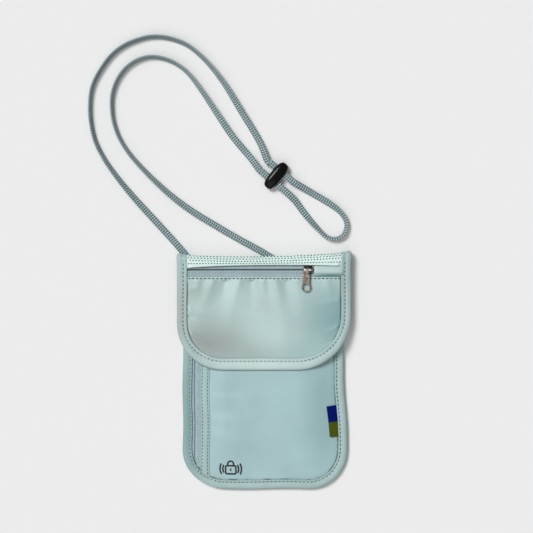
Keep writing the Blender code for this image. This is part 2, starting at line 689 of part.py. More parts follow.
def build_side_slider():
    """Slider on the side zip, and its pull, which turns flat about the lower leg of the bridge."""
    centre = (SIDE_ZIP_X, SIDE_SLIDER_Y)
    top = slider_top(SIDE_COIL_Z)
    pull_low, pull_thick = top + GAP, 0.7 * MM
    strap_low = pull_low + pull_thick + GAP
    leg_radius, eye_radius = 0.7 * MM, 1.05 * MM
    leg_y = centre[1] - 2.4 * MM
    runner = pivot("side_slider_pivot", (*centre, SIDE_COIL_Z))
    slider = piece("side_zip_slider", slider_mesh(centre, SIDE_COIL_Z, "y"), "zip_metal", runner)
    bridge = [(leg_y - leg_radius, strap_low), (centre[1] + 2.0 * MM, strap_low),
              (centre[1] + 2.0 * MM, top - 0.3 * MM), (centre[1] + 3.4 * MM, top - 0.3 * MM),
              (centre[1] + 3.4 * MM, strap_low + 0.6 * MM), (leg_y - leg_radius, strap_low + 0.6 * MM)]
    combine(slider, prism(bridge, centre[0] - 0.7 * MM, centre[0] + 0.7 * MM, "x"), "UNION")
    leg = prism(disc_outline((centre[0], leg_y), leg_radius, 12), top - 0.3 * MM, strap_low + 0.3 * MM, "z")
    combine(slider, leg, "UNION")

    swing = pivot("side_pull_pivot", (centre[0], leg_y, pull_low), runner)
    ring_y = leg_y - PULL_LENGTH + PULL_RING + 2.1 * MM
    half = PULL_WIDTH / 2
    outline = disc_outline((centre[0], leg_y), 2.0 * MM, 9, 0.0, math.pi)
    outline += [(centre[0] - half, leg_y - 3.2 * MM)]
    outline += disc_outline((centre[0], ring_y), PULL_RING, 17, math.pi * 0.86, math.pi * 1.28)
    outline += [(centre[0] + half, leg_y - 3.2 * MM)]
    pull = piece("side_zip_pull", prism(outline, pull_low, pull_low + pull_thick, "z"), "zip_metal", swing)
    combine(pull, prism(disc_outline((centre[0], leg_y), eye_radius, 16),
                        pull_low - 1.0 * MM, pull_low + 2.0 * MM, "z"), "DIFFERENCE")
    combine(pull, prism(disc_outline((centre[0], ring_y), PULL_HOLE, 20),
                        pull_low - 1.0 * MM, pull_low + 2.0 * MM, "z"), "DIFFERENCE")


# ---------------------------------------------------------------- cord

# Where the cord runs, in millimetres: from the left top corner, up and over to the lock, round the
# adjusting loop, back through the lock, and round to the middle of the top edge. The lock's own holes
# are worked out from its centre.
OUTER_RUN = [
    (-68.9, 100.7), (-79.1, 112.1), (-94.1, 128.5), (-110.5, 146.5), (-124.0, 163.0), (-134.5, 178.0),
    (-142.0, 192.9), (-145.7, 207.9), (-146.7, 222.8), (-145.0, 237.8), (-138.9, 251.3), (-128.5, 265.5),
    (-116.6, 274.4), (-101.6, 280.0), (-91.1, 281.2), (-79.1, 279.7), (-64.2, 273.8), (-49.2, 261.0),
    (-34.2, 242.3), (-19.3, 218.4), (-4.3, 193.6),
]
LOOP_RUN = [
    (26.2, 157.9), (40.6, 149.5), (55.6, 140.5), (64.5, 133.1), (69.1, 124.1), (67.0, 115.1),
    (60.1, 111.2), (52.0, 113.2), (43.6, 121.1), (34.6, 131.5), (25.6, 143.5),
]
INNER_RUN = [
    (-11.8, 179.5), (-26.7, 197.4), (-40.2, 216.9), (-52.2, 234.8), (-64.2, 250.5), (-76.1, 259.5),
    (-89.6, 263.9), (-101.6, 263.3), (-113.6, 257.2), (-122.5, 246.8), (-127.7, 233.3), (-128.2, 219.9),
    (-126.3, 207.9), (-121.0, 194.4), (-112.0, 180.9), (-97.0, 164.5), (-79.1, 148.0), (-61.2, 134.6),
    (-41.7, 122.6), (-22.3, 111.3), (-2.6, 100.6),
]
LEFT_TAIL = [(-68.6, 100.3), (-65.6, 96.6), (-62.3, 92.4), (-59.6, 88.9)]
RIGHT_TAIL = [(-2.1, 100.3), (3.2, 97.0), (12.0, 92.4), (22.0, 89.3), (33.0, 88.1), (44.0, 88.2), (54.0, 90.0)]


def lock_passage(sign):
    """The straight stretch of cord through one hole of the lock, from its upper left to its lower right."""
    long_way = Vector((math.cos(LOCK_ANGLE), math.sin(LOCK_ANGLE), 0.0))
    through = Vector((math.sin(LOCK_ANGLE), -math.cos(LOCK_ANGLE), 0.0))
    middle = LOCK_CENTRE + long_way * LOCK_HOLE_OFFSET * sign
    return [middle + through * reach * MM for reach in (-8.0, -3.0, 3.0, 8.0)]


def on_floor(points):
    """Route points lying on the surface, in metres."""
    return [Vector((x * MM, y * MM, CORD_FLOOR)) for x, y in points]


def smooth_path(route, samples):
    """Evenly spaced points on a Catmull-Rom curve through the route."""
    ends = [2 * route[0] - route[1], *route, 2 * route[-1] - route[-2]]
    fine = []
    steps = 24
    for k in range(1, len(ends) - 2):
        a, b, c, d = ends[k - 1:k + 3]
        for s in range(steps):
            t = s / steps
            bend = (2 * a - 5 * b + 4 * c - d) * t * t + (3 * b - a - 3 * c + d) * t * t * t
            fine.append(0.5 * (2 * b + (c - a) * t + bend))
    fine.append(route[-1])
    lengths = [0.0]
    for before, after in zip(fine, fine[1:]):
        lengths.append(lengths[-1] + (after - before).length)
    picked = []
    index = 0
    for k in range(samples):
        wanted = lengths[-1] * k / (samples - 1)
        while index < len(fine) - 2 and lengths[index + 1] < wanted:
            index += 1
        share = (wanted - lengths[index]) / (lengths[index + 1] - lengths[index])
        picked.append(fine[index].lerp(fine[index + 1], share))
    return picked


def build_cord():
    """The cord as a tube, from one side of the top edge to the other, through the lock twice."""
    route = on_floor(OUTER_RUN) + lock_passage(1.0) + on_floor(LOOP_RUN)
    route += lock_passage(-1.0)[::-1] + on_floor(INNER_RUN)
    shape = bpy.data.curves.new("neck_cord", "CURVE")
    shape.dimensions = "3D"
    shape.bevel_depth = CORD_RADIUS
    shape.bevel_resolution = 2
    shape.use_fill_caps = True
    line = shape.splines.new("POLY")
    points = smooth_path(route, CORD_POINTS)
    line.points.add(len(points) - 1)
    for place, point in zip(line.points, points):
        place.co = (*point, 1.0)
    shape.materials.append(finish("cord_braid"))
    cord = bpy.data.objects.new("neck_cord", shape)
    bpy.context.collection.objects.link(cord)


def build_tail(name, points):
    """A flat stretch of the cord sewn against the back panel."""
    route = smooth_path([Vector((x * MM, y * MM, 0.0)) for x, y in points], 3 * len(points) - 2)
    left, right = [], []
    for k, place in enumerate(route):
        way = route[min(k + 1, len(route) - 1)] - route[max(k - 1, 0)]
        side = Vector((-way.y, way.x, 0.0)).normalized() * TAIL_WIDTH / 2
        left.append(place + side)
        right.append(place - side)
    floor = 0.1 * MM
    vertices = [(p.x, p.y, z) for z in (floor, floor + TAIL_THICK) for p in left + right[::-1]]
    count = 2 * len(route)
    faces = [(k, (k + 1) % count, (k + 1) % count + count, k + count) for k in range(count)]
    for k in range(len(route) - 1):
        a, b, c, d = k, k + 1, count - 2 - k, count - 1 - k
        faces.append((a, b, c, d))
        faces.append((a + count, b + count, c + count, d + count))
    piece(name, mesh_of(vertices, faces), "cord_braid")


def build_lock():
    """Cord lock: a rounded bead with two holes, squeezed along the cord to set its length."""
    turn = pivot("cord_lock_pivot", LOCK_CENTRE)
    turn.rotation_euler = (0.0, 0.0, LOCK_ANGLE)
    bpy.context.view_layer.update()
    work = bmesh.new()
    bmesh.ops.create_uvsphere(work, u_segments=24, v_segments=14, radius=1.0)
    straight = LOCK_LENGTH / 2 - LOCK_WIDTH / 2
    for corner in work.verts:
        x, y, z = corner.co
        reach = (abs(x) ** 0.9) * LOCK_WIDTH / 2
        shift = straight * ease(abs(x) / 0.35) if abs(x) > 1e-6 else 0.0
        corner.co = (math.copysign(reach + shift, x) if x else 0.0, y * LOCK_WIDTH / 2, z * LOCK_HEIGHT / 2)
    bmesh.ops.recalc_face_normals(work, faces=work.faces)
    data = bpy.data.meshes.new("cord_lock")
    work.to_mesh(data)
    work.free()
    lock = piece("cord_lock", data, "lock_plastic", smooth=True)
    lock.parent = turn
    for sign in (-1.0, 1.0):
        hole = prism(disc_outline((sign * LOCK_HOLE_OFFSET, 0.0), LOCK_HOLE_RADIUS, 16),
                     -LOCK_WIDTH, LOCK_WIDTH, "y")
        tool = bpy.data.objects.new("tool_cord_lock", hole)
        bpy.context.collection.objects.link(tool)
        tool.parent = turn
        tool.hide_render = True
        tool.display_type = "WIRE"
        cut = lock.modifiers.new("hole", "BOOLEAN")
        cut.operation = "DIFFERENCE"
        cut.solver = "EXACT"
        cut.object = tool


# ---------------------------------------------------------------- assembly

def build_all():
    """Build every piece."""
    clear_scene()
    build_back()
    build_divider()
    build_front()
    build_side_zip()
    build_body_binding()
    build_trim()
    hinge = pivot("flap_hinge_pivot", (0.0, SHEET_TOP + GAP + FOLD_RADIUS_Y, (FOLD_Z[0] + FOLD_Z[1]) / 2))
    build_flap(hinge)
    build_flap_zip(hinge)
    build_fold()
    build_flap_slider(hinge)
    build_side_slider()
    build_cord()
    build_tail("cord_tail_left", LEFT_TAIL)
    build_tail("cord_tail_right", RIGHT_TAIL)
    build_lock()


build_all()
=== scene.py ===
# %% [markdown]
# # A neck pouch wallet
#
# A neck pouch is a flat bag of thin satin cloth, bound all round with folded tape, with a zipped flap and a
# cord that goes over the head. This lesson makes each of its pieces as a surface worked out with numpy.
# A surface is easier to steer than a hand-moved mesh: every shape is a formula, so it can be changed later.
#
# ## The frame
#
# The model that moves is loaded first. It fixes where every piece goes and which body it moves with.

import math

import bpy
import numpy as np
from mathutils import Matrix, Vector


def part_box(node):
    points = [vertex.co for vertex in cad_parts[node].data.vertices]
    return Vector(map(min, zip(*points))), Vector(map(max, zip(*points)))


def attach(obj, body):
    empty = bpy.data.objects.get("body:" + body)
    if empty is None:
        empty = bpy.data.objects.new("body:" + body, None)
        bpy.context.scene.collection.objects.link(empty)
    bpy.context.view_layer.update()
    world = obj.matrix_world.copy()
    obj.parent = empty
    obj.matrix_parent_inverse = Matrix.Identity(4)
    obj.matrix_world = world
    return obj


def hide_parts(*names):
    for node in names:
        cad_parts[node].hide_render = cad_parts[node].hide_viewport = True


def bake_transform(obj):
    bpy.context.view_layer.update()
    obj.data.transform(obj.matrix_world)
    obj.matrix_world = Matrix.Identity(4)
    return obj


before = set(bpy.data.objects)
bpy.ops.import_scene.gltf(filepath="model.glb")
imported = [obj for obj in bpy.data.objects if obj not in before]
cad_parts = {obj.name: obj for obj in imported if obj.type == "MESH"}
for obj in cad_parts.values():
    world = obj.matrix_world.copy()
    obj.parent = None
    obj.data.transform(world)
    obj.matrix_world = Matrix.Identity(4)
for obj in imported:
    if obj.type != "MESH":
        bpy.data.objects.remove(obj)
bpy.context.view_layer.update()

# %% [markdown]
# ## Measures
#
# Lengths are written in millimetres times MM, which turns them into Blender's metres. The outer sizes come
# from the frame's own boxes, and the layers between them are stacked up from the surface the pouch lies on.

# %% Measures
MM = 0.001

body_low, body_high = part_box("body_binding")
flap_low, flap_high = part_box("flap_binding")
fold_low, fold_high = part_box("flap_fold")
front_low, front_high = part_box("front_panel")

BODY_HALF = body_high[0]
BODY_BOTTOM = body_low[1]
BODY_CORNERS = (34.0 * MM, 33.0 * MM)
BODY_TAPE = 7.9 * MM
BODY_GROOVE = 2.0 * MM
BINDING_TOP = body_high[1]
MOUTH_Y = front_high[1]

FLAP_HALF = flap_high[0]
FLAP_BOTTOM = flap_low[1]
FLAP_CORNERS = (39.0 * MM, 46.0 * MM)
FLAP_TAPE = 8.5 * MM
FLAP_GROOVE = 3.2 * MM

FOLD_Y = fold_low[1]
FOLD_REACH = fold_high[1] - fold_low[1]
FOLD_BACK_Z = fold_low[2]
FOLD_FRONT_Z = fold_high[2]

CLOTH_THICK = 0.5 * MM
PANEL_INSET = 1.2 * MM
LINING_CELL = 1.6 * MM
print("body", round(2000 * BODY_HALF, 1), "mm wide, flap", round(2000 * FLAP_HALF, 1), "mm wide")

# %% [markdown]
# ## Working with arrays
#
# A piece is a grid of points: rows run one way over the surface and columns the other. These helpers turn
# such a grid into a mesh. Faces are worked out for the whole grid at once, and a closed shape is turned
# inside out if its volume comes out negative, so that every face points outwards.


# %% Array helpers
def ease(value):
    """Smooth step: 3t^2 - 2t^3, with t held between 0 and 1."""
    t = np.clip(value, 0.0, 1.0)
    return t * t * (3.0 - 2.0 * t)


def ramp(value, start, length):
    """A smooth step that begins at start and takes the length, both in millimetres."""
    return ease((value - start * MM) / (length * MM))


def bell(value, centre, width):
    """Bell curve: e to the minus square of the distance from the centre, in widths."""
    return np.exp(-(((value - centre) / width) ** 2))


def ripple(s, seed):
    """A slow uneven wave between about -1 and 1: three sines whose lengths have no common measure."""
    return (
        0.5 * np.sin(s / (11.3 * MM) + seed)
        + 0.3 * np.sin(s / (4.9 * MM) + 2.1 * seed)
        + 0.2 * np.sin(s / (2.7 * MM) + 3.7 * seed)
    )


def unit(vectors):
    """Each vector divided by its own length."""
    return vectors / np.maximum(np.linalg.norm(vectors, axis=-1, keepdims=True), 1e-12)


def along(points):
    """Distance along a line of points, from 0 at the first."""
    return np.concatenate([[0.0], np.cumsum(np.linalg.norm(np.diff(points, axis=0), axis=1))])


def at_distance(points, where):
    """Points of a line at given distances along it, by straight interpolation."""
    reach = along(points)
    return np.stack([np.interp(where, reach, points[:, k]) for k in range(points.shape[1])], axis=-1)


def smooth_line(points, count, closed=False):
    """Evenly spaced points on a Catmull-Rom curve, whose tangent at a point runs between its neighbours."""
    points = np.asarray(points, float)
    if closed:
        held = np.concatenate([points[-1:], points, points[:2]])
    else:
        held = np.concatenate([2 * points[:1] - points[1:2], points, 2 * points[-1:] - points[-2:-1]])
    a, b, c, d = held[:-3, None], held[1:-2, None], held[2:-1, None], held[3:, None]
    t = (np.arange(24) / 24)[None, :, None]
    bend = (2 * a - 5 * b + 4 * c - d) * t**2 + (3 * b - a - 3 * c + d) * t**3
    fine = (0.5 * (2 * b + (c - a) * t + bend)).reshape(-1, points.shape[1])
    fine = np.concatenate([fine, points[:1] if closed else points[-1:]])
    return at_distance(fine, np.linspace(0.0, along(fine)[-1], count + closed))[:count]


def grid_quads(rows, columns, wrap_rows=False, wrap_columns=False):
    """Corners of each cell of a grid stored row by row. A wrapped side joins its last line to its first."""
    r = np.arange(rows if wrap_rows else rows - 1)
    c = np.arange(columns if wrap_columns else columns - 1)
    r, c = np.meshgrid(r, c, indexing="ij")
    after_r, after_c = (r + 1) % rows, (c + 1) % columns
    corners = [r * columns + c, r * columns + after_c, after_r * columns + after_c, after_r * columns + c]
    return np.stack(corners, axis=-1).reshape(-1, 4)


def volume_sign(points, polygons):
    """Sum over faces of corner 0 . (corner 1 x corner 2) and its fan; positive when faces point outwards."""
    total = 0.0
    for block in polygons:
        for k in range(1, block.shape[1] - 1):
            a, b, c = points[block[:, 0]], points[block[:, k]], points[block[:, k + 1]]
            total += np.einsum("ij,ij->", a - points[0], np.cross(b - points[0], c - points[0]))
    return total


def fill_mesh(name, points, polygons, uv=None):
    """A mesh from points and blocks of faces, one array for each number of corners."""
    corners = np.concatenate([block.ravel() for block in polygons]).astype(np.int32)
    sizes = np.concatenate([np.full(len(block), block.shape[1]) for block in polygons])
    mesh = bpy.data.meshes.new(name)
    mesh.vertices.add(len(points))
    mesh.vertices.foreach_set("co", np.ascontiguousarray(points, dtype=np.float32).ravel())
    mesh.loops.add(len(corners))
    mesh.loops.foreach_set("vertex_index", corners)
    mesh.polygons.add(len(sizes))
    mesh.polygons.foreach_set("loop_start", (np.cumsum(sizes) - sizes).astype(np.int32))
    if uv is not None:
        layer = mesh.uv_layers.new(name="UVMap")
        layer.data.foreach_set("uv", np.ascontiguousarray(uv[corners], dtype=np.float32).ravel())
    mesh.update(calc_edges=True)
    mesh.validate()
    mesh.shade_smooth()
    return mesh


def place(name, mesh, material, body=None, sharp=None):
    """Link a mesh as a piece with its finish, and let it ride on a body."""
    if sharp is not None:
        mesh.set_sharp_from_angle(angle=math.radians(sharp))
    mesh.materials.append(material)
    made = bpy.data.objects.new(name, mesh)
    bpy.context.collection.objects.link(made)
    if body:
        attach(made, body)
    return made


def closed_faces(points, caps=False, wrap_rows=False):
    """Faces of a tube-like grid, all turned outwards. Its columns wrap round, and its two ends are closed by
    a face each or by the rows wrapping too."""
    rows, columns = points.shape[:2]
    polygons = [grid_quads(rows, columns, wrap_rows=wrap_rows, wrap_columns=True)]
    if caps:
        ring = np.arange(columns)
        polygons.append(np.array([ring[::-1], (rows - 1) * columns + ring]))
    if volume_sign(points.reshape(-1, 3), polygons) < 0:
        polygons = [block[:, ::-1] for block in polygons]
    return polygons


def closed_grid(name, points, uv=None, caps=False, wrap_rows=False):
    """The mesh of a tube-like grid."""
    faces = closed_faces(points, caps, wrap_rows)
    return fill_mesh(name, points.reshape(-1, 3), faces, None if uv is None else uv.reshape(-1, 2))


def cloth_sheet(name, points, thick, material, body=None, uv=None):
    """An open grid facing up, given its thickness downwards by Solidify."""
    rows, columns = points.shape[:2]
    if uv is None:
        uv = points[..., :2]
    mesh = fill_mesh(name, points.reshape(-1, 3), [grid_quads(rows, columns)], uv.reshape(-1, 2))
    made = place(name, mesh, material, body)
    wall = made.modifiers.new("thickness", "SOLIDIFY")
    wall.thickness = thick
    wall.offset = -1.0
    return made


# %% [markdown]
# ## Camera and light
#
# The pouch lies on a pale table and is seen from straight above, so the camera looks down with a long lens,
# which keeps the sides parallel. A wide soft key sun from the upper left gives the short soft shadows. A
# wider and weaker sun from beyond the hem fills them, with a pale sky. The camera is made first, because the
# cord has to stay within its view.

# %% Camera and light
CAMERA_AIM = (1.9 * MM, 87.8 * MM)
VIEW_WIDTH = 446.7 * MM
LENS, SENSOR = 100.0, 36.0
AIM_HEIGHT = 8.0 * MM

camera_data = bpy.data.cameras.new("camera")
camera_data.lens = LENS
camera_data.sensor_width = SENSOR
camera_data.clip_start = 0.01
camera = bpy.data.objects.new("camera", camera_data)
camera.location = (*CAMERA_AIM, AIM_HEIGHT + VIEW_WIDTH * LENS / SENSOR)
bpy.context.collection.objects.link(camera)
bpy.context.scene.camera = camera
bpy.context.scene.view_settings.view_transform = "Standard"

SKY_STRENGTH = 0.26


def sun(name, strength, spread, tilt, heading):
    """A sun tilted from straight down by tilt, shining towards heading; spread sets how soft it is."""
    light = bpy.data.lights.new(name, "SUN")
    light.energy = strength
    light.angle = math.radians(spread)
    made = bpy.data.objects.new(name, light)
    made.rotation_euler = (0.0, math.radians(tilt), math.radians(heading))
    bpy.context.collection.objects.link(made)


sun("key", strength=2.4, spread=22.0, tilt=-36.0, heading=-42.0)
sun("fill", strength=0.66, spread=60.0, tilt=-38.0, heading=75.0)

world = bpy.data.worlds.new("sky")
world.use_nodes = True
sky = world.node_tree.nodes["Background"]
sky.inputs["Color"].default_value = (1.0, 1.0, 1.0, 1.0)
sky.inputs["Strength"].default_value = SKY_STRENGTH
bpy.context.scene.world = world

# %% [markdown]
# ## Finishes
#
# Each finish is a small tree of nodes on the Principled shader. A helper adds a node and joins its sockets,
# so that a finish reads as a short list. Cloth gets three scales of detail: threads as a fine bump, slubs as
# a faint streak along the threads, and slow changes of tone over centimetres. Some finishes also get soft
# patches of painted light and shade, and a painted shadow along a seam.


# %% Node helpers
def tint(red, green, blue):
    """Screen values from 0 to 255 as Blender's linear colour: ((v + 0.055) / 1.055) to the power 2.4."""
    values = np.array([red, green, blue]) / 255.0
    linear = np.where(values <= 0.04045, values / 12.92, ((values + 0.055) / 1.055) ** 2.4)
    return (*[float(v) for v in linear], 1.0)


def shade(colour, factor):
    """A colour made lighter or darker by a factor."""
    return (*[min(c * factor, 1.0) for c in colour[:3]], 1.0)


def add_node(tree, kind, inputs=None, **settings):
    """Add a node, set its options, and fill its sockets with values or join them to other sockets."""
    node = tree.nodes.new(kind)
    for key, value in settings.items():
        setattr(node, key, value)
    for key, value in (inputs or {}).items():
        socket = node.inputs[key]
        if isinstance(value, bpy.types.NodeSocket):
            tree.links.new(value, socket)
        else:
            socket.default_value = value
    return node


def new_finish(name, colour, roughness, **constants):
    """A material with its Principled shader set to plain numbers; returns it, its tree and the shader."""
    material = bpy.data.materials.new(name)
    material.use_nodes = True
    material.diffuse_color = colour
    tree = material.node_tree
    shader = tree.nodes["Principled BSDF"]
    shader.inputs["Base Color"].default_value = colour
    shader.inputs["Roughness"].default_value = roughness
    for key, value in constants.items():
        shader.inputs[key.replace("_", " ")].default_value = value
    return material, tree, shader


def calculated(tree, operation, *values):
    """One step of arithmetic on plain numbers or sockets."""
    return add_node(tree, "ShaderNodeMath", dict(enumerate(values)), operation=operation).outputs[0]


def noise(tree, spot, scale, detail=2.0):
    """Soft random cloud: a value about 0.5 at every spot, with scale lumps to the metre."""
    cloud = add_node(tree, "ShaderNodeTexNoise", {"Vector": spot, "Scale": scale, "Detail": detail})
    return cloud.outputs["Fac"]


def coordinates(tree, kind):
    """Where a spot is on the piece: Object is its place in metres, and UV is the piece's own map."""
    return add_node(tree, "ShaderNodeTexCoord").outputs[kind]


def threads(tree, spot, pitch, turn=0.0):
    """Height of parallel threads: a sine across them, one wave for each pitch, turned by an angle."""
    turned = add_node(tree, "ShaderNodeMapping", {"Vector": spot, "Rotation": (0.0, 0.0, turn)})
    wave = add_node(tree, "ShaderNodeTexWave", {
        "Vector": turned.outputs["Vector"], "Scale": math.pi / (10.0 * pitch), "Distortion": 0.0,
    })
    return wave.outputs["Fac"]


def blend_colours(tree, factor, first, second):
    """Mix of two colours by a factor."""
    mixed = add_node(tree, "ShaderNodeMix", data_type="RGBA")
    tree.links.new(factor, mixed.inputs[0])
    for socket, value in ((mixed.inputs[6], first), (mixed.inputs[7], second)):
        if isinstance(value, bpy.types.NodeSocket):
            tree.links.new(value, socket)
        else:
            socket.default_value = value
    return mixed.outputs[2]


def spread_range(tree, value, low, high, to_low=0.0, to_high=1.0):
    """Map a value from one range to another and hold it there."""
    mapped = add_node(tree, "ShaderNodeMapRange", {
        "Value": value, "From Min": low, "From Max": high, "To Min": to_low, "To Max": to_high,
    })
    return mapped.outputs["Result"]


def raised(tree, shader, height, depth, strength=1.0):
    """Bump the surface by a height from 0 to 1 times depth."""
    relief = add_node(tree, "ShaderNodeBump", {"Height": height, "Distance": depth, "Strength": strength})
    tree.links.new(relief.outputs["Normal"], shader.inputs["Normal"])


def grained(name, colour, roughness, scale, depth, detail=2.0, **constants):
    """A plain finish with a fine random grain, as bump."""
    material, tree, shader = new_finish(name, colour, roughness, **constants)
    raised(tree, shader, noise(tree, coordinates(tree, "Object"), scale, detail), depth)
    return material


def painted_light_patch(tree, base, x, y, radius_x, radius_y, tone, strength):
    """A soft round patch of painted light or shade laid over a colour; place and radii in millimetres."""
    moved = add_node(tree, "ShaderNodeMapping", {
        "Vector": coordinates(tree, "Object"), "Location": (-x / radius_x, -y / radius_y, 0.0),
        "Scale": (1.0 / (radius_x * MM), 1.0 / (radius_y * MM), 0.0),
    })
    ball = add_node(tree, "ShaderNodeTexGradient", {"Vector": moved.outputs["Vector"]},
                    gradient_type="SPHERICAL")
    soft = add_node(tree, "ShaderNodeMapRange", {"Value": ball.outputs["Fac"], "To Max": strength},
                    interpolation_type="SMOOTHSTEP")
    return blend_colours(tree, soft.outputs["Result"], base, tone)


def seam_shadow(tree, base, colour, distance, half_width, strength):
    """Darken a line where the first UV coordinate, the distance from the edge, has a given value. Noise
    breaks the line up, as a seam's shadow is."""
    across = add_node(tree, "ShaderNodeSeparateXYZ", {"Vector": coordinates(tree, "UV")}).outputs["X"]
    near = calculated(tree, "ABSOLUTE", calculated(tree, "SUBTRACT", across, distance))
    line = spread_range(tree, near, half_width, 0.0, 0.0, 1.0)
    breaks = noise(tree, coordinates(tree, "Object"), 130.0, 1.0)
    # Noise breaks the painted shadow line into dashes.
    wear_and_shade_mottle = spread_range(tree, breaks, 0.42, 0.56, 0.25, strength)
    return blend_colours(tree, calculated(tree, "MULTIPLY", line, wear_and_shade_mottle), base, shade(colour, 0.12))


def woven(name, colour, roughness, pitch=0.45 * MM, depth=0.05 * MM, tones=0.06, follow="Object",
          ribs=None, hollow_shade=0.0, streaks=0.03, light_and_shade_patches=(), seam=None, **constants):
    """Cloth: crossed threads, or ribs at an angle in degrees, with slow tone changes and faint streaks. A
    further number sets how much painted shade darkens the hollows between the threads. The patches are soft
    patches of painted light and shade, and seam is a painted shadow line, as the two functions above take
    them."""
    material, tree, shader = new_finish(name, colour, roughness, **constants)
    spot = coordinates(tree, follow)
    if ribs is not None:
        height = threads(tree, spot, pitch, math.radians(ribs))
    else:
        warp = threads(tree, spot, pitch)
        weft = threads(tree, spot, pitch, math.radians(90.0))
        height = calculated(tree, "MULTIPLY", warp, weft)
    stretched = add_node(tree, "ShaderNodeMapping", {"Vector": spot, "Scale": (60.0, 1400.0, 60.0)})
    slow = spread_range(tree, noise(tree, spot, 38.0, 3.0), 0.3, 0.7)
    slubs = spread_range(tree, noise(tree, stretched.outputs["Vector"], 1.0), 0.3, 0.7)
    base = blend_colours(tree, slow, shade(colour, 1.0 - tones), shade(colour, 1.0 + tones))
    base = blend_colours(tree, calculated(tree, "MULTIPLY", slubs, streaks), base, shade(colour, 0.45))
    # Painted shade: the hollows between the threads are made darker.
    if hollow_shade:
        hollow_shade_mask = spread_range(tree, height, 0.75, 0.0, 0.0, hollow_shade)
        base = blend_colours(tree, hollow_shade_mask, base, shade(colour, 0.3))
    # Patches of painted light and shade: lighter or darker tones where light or shade falls on the cloth.
    for painted_patch in light_and_shade_patches:
        base = painted_light_patch(tree, base, *painted_patch)
    if seam:
        base = seam_shadow(tree, base, colour, *seam)
    tree.links.new(base, shader.inputs["Base Color"])
    raised(tree, shader, height, depth)
    return material


# %% [markdown]
# ### The finishes of this pouch
#
# The panels are a smooth satin with a soft sheen. The binding is a matt twill tape, whose ribs slant along
# the tape, so it reads the piece's own UV map. The cord is braided, so its yarns are drawn along and round
# the cord.

# %% The finishes of this pouch
PANEL = tint(160, 190, 192)
FLAP = tint(176, 199, 197)
BAND = tint(218, 239, 234)
FACING = tint(160, 188, 187)
BINDING = tint(163, 188, 187)

# A patch of painted light or shade is x, y and two radii in millimetres, a tone and its strength. A seam is
# its distance from the edge, the half width of its painted shadow and its strength.
# The front panel's satin is painted darker towards the right, as painted shade.
panel_satin = woven("panel_satin", PANEL, 0.42, light_and_shade_patches=[(58, -30, 42, 90, tint(136, 169, 172), 0.7)],
                    seam=(BODY_TAPE + 0.45 * MM, 0.85 * MM, 1.0), Sheen_Weight=0.05, Sheen_Roughness=0.4)
# The flap's satin has painted reflection and shade: a warm grey patch at the lower left, grey along the hem,
# and a darker, cooler right side.
flap_satin = woven("flap_satin", FLAP, 0.34, tones=0.05, light_and_shade_patches=[
    (-46, 24, 52, 32, tint(140, 148, 147), 0.85), (-12, 14, 46, 16, tint(150, 168, 166), 0.6),
    (66, 44, 58, 50, tint(118, 157, 160), 0.95), (34, 16, 40, 18, tint(150, 182, 182), 0.7),
    (-58, 66, 30, 18, tint(146, 164, 162), 0.5),
], seam=(FLAP_TAPE + 0.45 * MM, 0.8 * MM, 0.95), Sheen_Weight=0.05, Sheen_Roughness=0.35)
plain_satin = woven("plain_satin", PANEL, 0.42, Sheen_Weight=0.05, Sheen_Roughness=0.4)
band_cloth = woven("band_cloth", BAND, 0.6, depth=0.08 * MM, Sheen_Weight=0.05)
facing_cloth = woven("facing_cloth", FACING, 0.6, depth=0.08 * MM, Sheen_Weight=0.05)
TWILL = dict(pitch=0.9 * MM, depth=0.09 * MM, follow="UV", ribs=52.0, Sheen_Weight=0.05)
# The body's binding is painted darker along its left side, as painted shade.
body_twill = woven("body_twill", BINDING, 0.6, light_and_shade_patches=[
    (-70, -40, 30, 120, tint(126, 158, 159), 1.0),
], **TWILL)
# The flap's binding has a painted highlight along the hem, painted shade down its left side and a lighter
# right side.
flap_twill = woven("flap_twill", BINDING, 0.6, light_and_shade_patches=[
    (0, 2, 100, 26, tint(194, 214, 212), 1.0), (-72, 48, 16, 56, tint(158, 168, 166), 0.9),
    (74, 46, 18, 58, tint(180, 200, 199), 0.8),
], **TWILL)
# The zip tape's rib hollows get painted shade.
zip_tape_weave = woven("zip_tape_weave", tint(164, 184, 190), 0.7, pitch=1.35 * MM, depth=0.12 * MM,
                       follow="UV", ribs=0.0, hollow_shade=0.5)
# A dark stripe of painted shadow lies along the zip cover's lower edge.
cover_satin = woven("cover_satin", FLAP, 0.34, light_and_shade_patches=[(56, 80.2, 30, 3.6, tint(74, 122, 126), 0.9)],
                    Sheen_Weight=0.05, Sheen_Roughness=0.35)
# The thread is darker than the cloth: its own colour darkened by painted shade of the stitches and their
# holes.
thread_with_painted_shade = woven("thread_with_painted_shade", tint(62, 92, 91), 0.7, pitch=0.3 * MM, tones=0.1)
pale_thread = woven("pale_thread", tint(150, 178, 176), 0.7, pitch=0.3 * MM, tones=0.1)
RIBBON = dict(pitch=0.6 * MM, depth=0.1 * MM, tones=0.1, Specular_IOR_Level=0.05)
navy_ribbon = woven("navy_ribbon", tint(3, 18, 98), 0.8, **RIBBON)
olive_ribbon = woven("olive_ribbon", tint(72, 82, 15), 0.7, **RIBBON)
print(len(bpy.data.materials), "finishes so far")

# %% [markdown]
# ## The neck cord
#
# The cord is a flat braid, about 6 mm wide and 2 mm thick. A flat braid can't bend in its own plane, so it
# turns up onto its edge in the curves and lies flat where it runs straight. The route has a third number
# beside each x and y: how far the braid is rolled there, in degrees. Its cross-section is carried along the
# route, turned by that roll, and lifted until its lowest side touches the table.

# %% Cord route
CORD_WIDTH = 5.7 * MM
CORD_THICK = 1.9 * MM
CORD_FINISH = tint(130, 149, 152)

